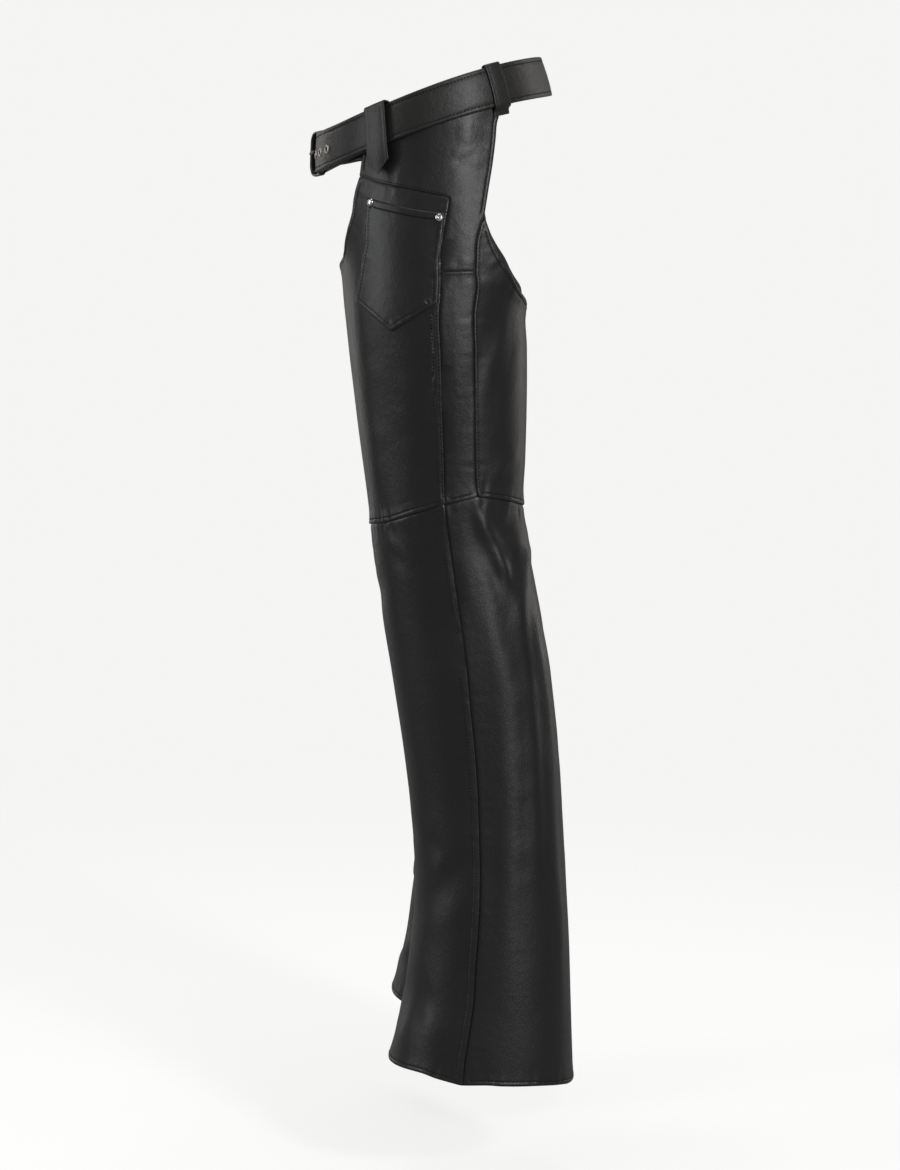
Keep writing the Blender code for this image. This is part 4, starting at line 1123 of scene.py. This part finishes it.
def metal(name, colour, rough, wear):
    look, tree, shader = nodes_of(name)
    place = add_node(tree, "ShaderNodeTexCoord")
    grime = add_node(tree, "ShaderNodeTexNoise", Scale=400.0, Detail=3.0)
    tone = add_node(tree, "ShaderNodeMix", data_type="RGBA")
    tone.inputs[6].default_value = (*colour, 1)
    tone.inputs[7].default_value = (*(c * wear for c in colour), 1)
    shine = add_node(tree, "ShaderNodeMapRange")
    shine.inputs["To Min"].default_value = rough - 0.04
    shine.inputs["To Max"].default_value = rough + 0.08
    link(tree, place.outputs["Object"], grime.inputs["Vector"])
    link(tree, grime.outputs["Fac"], tone.inputs[0])
    link(tree, tone.outputs[2], shader.inputs["Base Color"])
    link(tree, grime.outputs["Fac"], shine.inputs["Value"])
    link(tree, shine.outputs["Result"], shader.inputs["Roughness"])
    shader.inputs["Metallic"].default_value = 1.0
    return look


def declare_sheets():
    for name, piece in PIECES.items():
        side, _, kind = name.partition("_")
        kind = kind if side in ("left", "right") else name


# ---- studio ----

def area_light(name, place, target, size, power, colour=(1, 1, 1)):
    light = bpy.data.lights.new(name, "AREA")
    light.shape = "RECTANGLE"
    light.size, light.size_y = size
    light.energy = power
    light.color = colour
    lamp = bpy.data.objects.new(name, light)
    lamp.location = place
    lamp.rotation_euler = (Vector(target) - Vector(place)).to_track_quat("-Z", "Y").to_euler()
    bpy.context.scene.collection.objects.link(lamp)


def build_world():
    world = bpy.data.worlds.new("studio")
    bpy.context.scene.world = world
    world.use_nodes = True
    tree = world.node_tree
    tree.nodes.clear()
    output = tree.nodes.new("ShaderNodeOutputWorld")
    seen = add_node(tree, "ShaderNodeBackground", Strength=1.0)
    seen.inputs["Color"].default_value = (0.913, 0.913, 0.905, 1)
    fill = add_node(tree, "ShaderNodeBackground", Strength=0.2)
    fill.inputs["Color"].default_value = (1, 1, 1, 1)
    rays = tree.nodes.new("ShaderNodeLightPath")
    mix = tree.nodes.new("ShaderNodeMixShader")
    link(tree, rays.outputs["Is Camera Ray"], mix.inputs[0])
    link(tree, fill.outputs[0], mix.inputs[1])
    link(tree, seen.outputs[0], mix.inputs[2])
    link(tree, mix.outputs[0], output.inputs["Surface"])


def build_floor():
    count, radius, level = 96, 3.2, -1.062
    turns = np.linspace(0, 2 * math.pi, count, endpoint=False)
    vertices = np.column_stack([radius * np.cos(turns), radius * np.sin(turns), np.full(count, level)])
    mesh = bpy.data.meshes.new("floor")
    mesh.from_pydata(vertices.tolist(), [], [tuple(range(count))])
    floor = bpy.data.objects.new("floor", mesh)
    bpy.context.scene.collection.objects.link(floor)
    look, tree, shader = nodes_of("floor_paper")
    shader.inputs["Base Color"].default_value = (0.35, 0.35, 0.348, 1)
    shader.inputs["Emission Color"].default_value = (1, 1, 0.99, 1)
    rays = tree.nodes.new("ShaderNodeLightPath")
    bright = add_node(tree, "ShaderNodeMath", operation="MULTIPLY")
    bright.inputs[1].default_value = 0.735
    link(tree, rays.outputs["Is Camera Ray"], bright.inputs[0])
    link(tree, bright.outputs[0], shader.inputs["Emission Strength"])
    shader.inputs["Roughness"].default_value = 0.9
    shader.inputs["Specular IOR Level"].default_value = 0.1
    place = add_node(tree, "ShaderNodeTexCoord")
    length = add_node(tree, "ShaderNodeVectorMath", operation="LENGTH")
    fade = add_node(tree, "ShaderNodeMapRange", interpolation_type="SMOOTHSTEP")
    fade.inputs["From Min"].default_value = 1.1
    fade.inputs["From Max"].default_value = 2.2
    fade.inputs["To Min"].default_value = 1.0
    fade.inputs["To Max"].default_value = 0.0
    link(tree, place.outputs["Object"], length.inputs[0])
    link(tree, length.outputs["Value"], fade.inputs["Value"])
    link(tree, fade.outputs["Result"], shader.inputs["Alpha"])
    mesh.materials.append(look)


def build_camera():
    camera = bpy.data.cameras.new("camera")
    camera.lens = 97.72
    camera.clip_start = 0.1
    eye = bpy.data.objects.new("camera", camera)
    eye.location = (3.23, 0.018, 0.0)
    pitch = math.radians(8.4)
    way = Vector((-math.cos(pitch), 0, -math.sin(pitch)))
    eye.rotation_euler = way.to_track_quat("-Z", "Y").to_euler()
    bpy.context.scene.collection.objects.link(eye)
    bpy.context.scene.camera = eye


def build_lights():
    area_light("key_front", (1.0, -3.0, 0.7), (0, 0, -0.4), (1.1, 2.6), 35, (0.97, 0.985, 1))
    area_light("key_side", (3.0, 1.75, 0.3), (0, 0, -0.4), (0.9, 2.4), 25, (1, 0.985, 0.96))
    area_light("key_high", (2.8, 1.9, 1.3), (0, 0, 0), (0.5, 0.4), 40, (0.98, 0.99, 1))
    area_light("rim_back", (-2.2, 2.4, 0.2), (0.1, 0, -0.5), (0.5, 2.6), 10, (1, 0.96, 0.92))
    area_light("rim_front", (-2.4, -2.0, 0.2), (0, 0, -0.5), (0.5, 2.6), 10, (1, 0.97, 0.94))
    area_light("top", (0, 0, 2.6), (0, 0, 0), (1.6, 1.6), 25)


def main():
    hide = leather("black_leather_fine", (0.0055, 0.0055, 0.0057), (0.010, 0.0098, 0.0098), 0.40, 0.26, 0.01)
    strap = leather("black_leather_strap", (0.009, 0.0088, 0.0082), (0.015, 0.0145, 0.0135), 0.42, 0.34, 0.012)
    flesh = leather("black_leather_reverse", (0.02, 0.018, 0.017), (0.035, 0.031, 0.029), 0.85, 0.6, 0.3)
    thread = leather("black_thread", (0.004, 0.004, 0.004), (0.008, 0.008, 0.008), 0.55, 0.5, 0, 0.22)
    silver = metal("silver_polished", (0.68, 0.68, 0.66), 0.22, 0.8)
    worn = metal("silver_aged", (0.62, 0.58, 0.5), 0.34, 0.6)
    dark = metal("black_nickel_plated", (0.04, 0.04, 0.043), 0.32, 0.7)
    chart, faces = triangulate()
    build_panels(chart, faces, [hide, flesh])
    build_stitches(thread)
    build_belt(strap, thread)
    build_loops(strap)
    build_tab(hide)
    build_buckle(dark)
    build_metal(silver, worn, hide)
    declare_sheets()
    build_world()
    build_floor()
    build_lights()
    build_camera()
    bpy.context.scene.view_settings.view_transform = "Standard"


main()
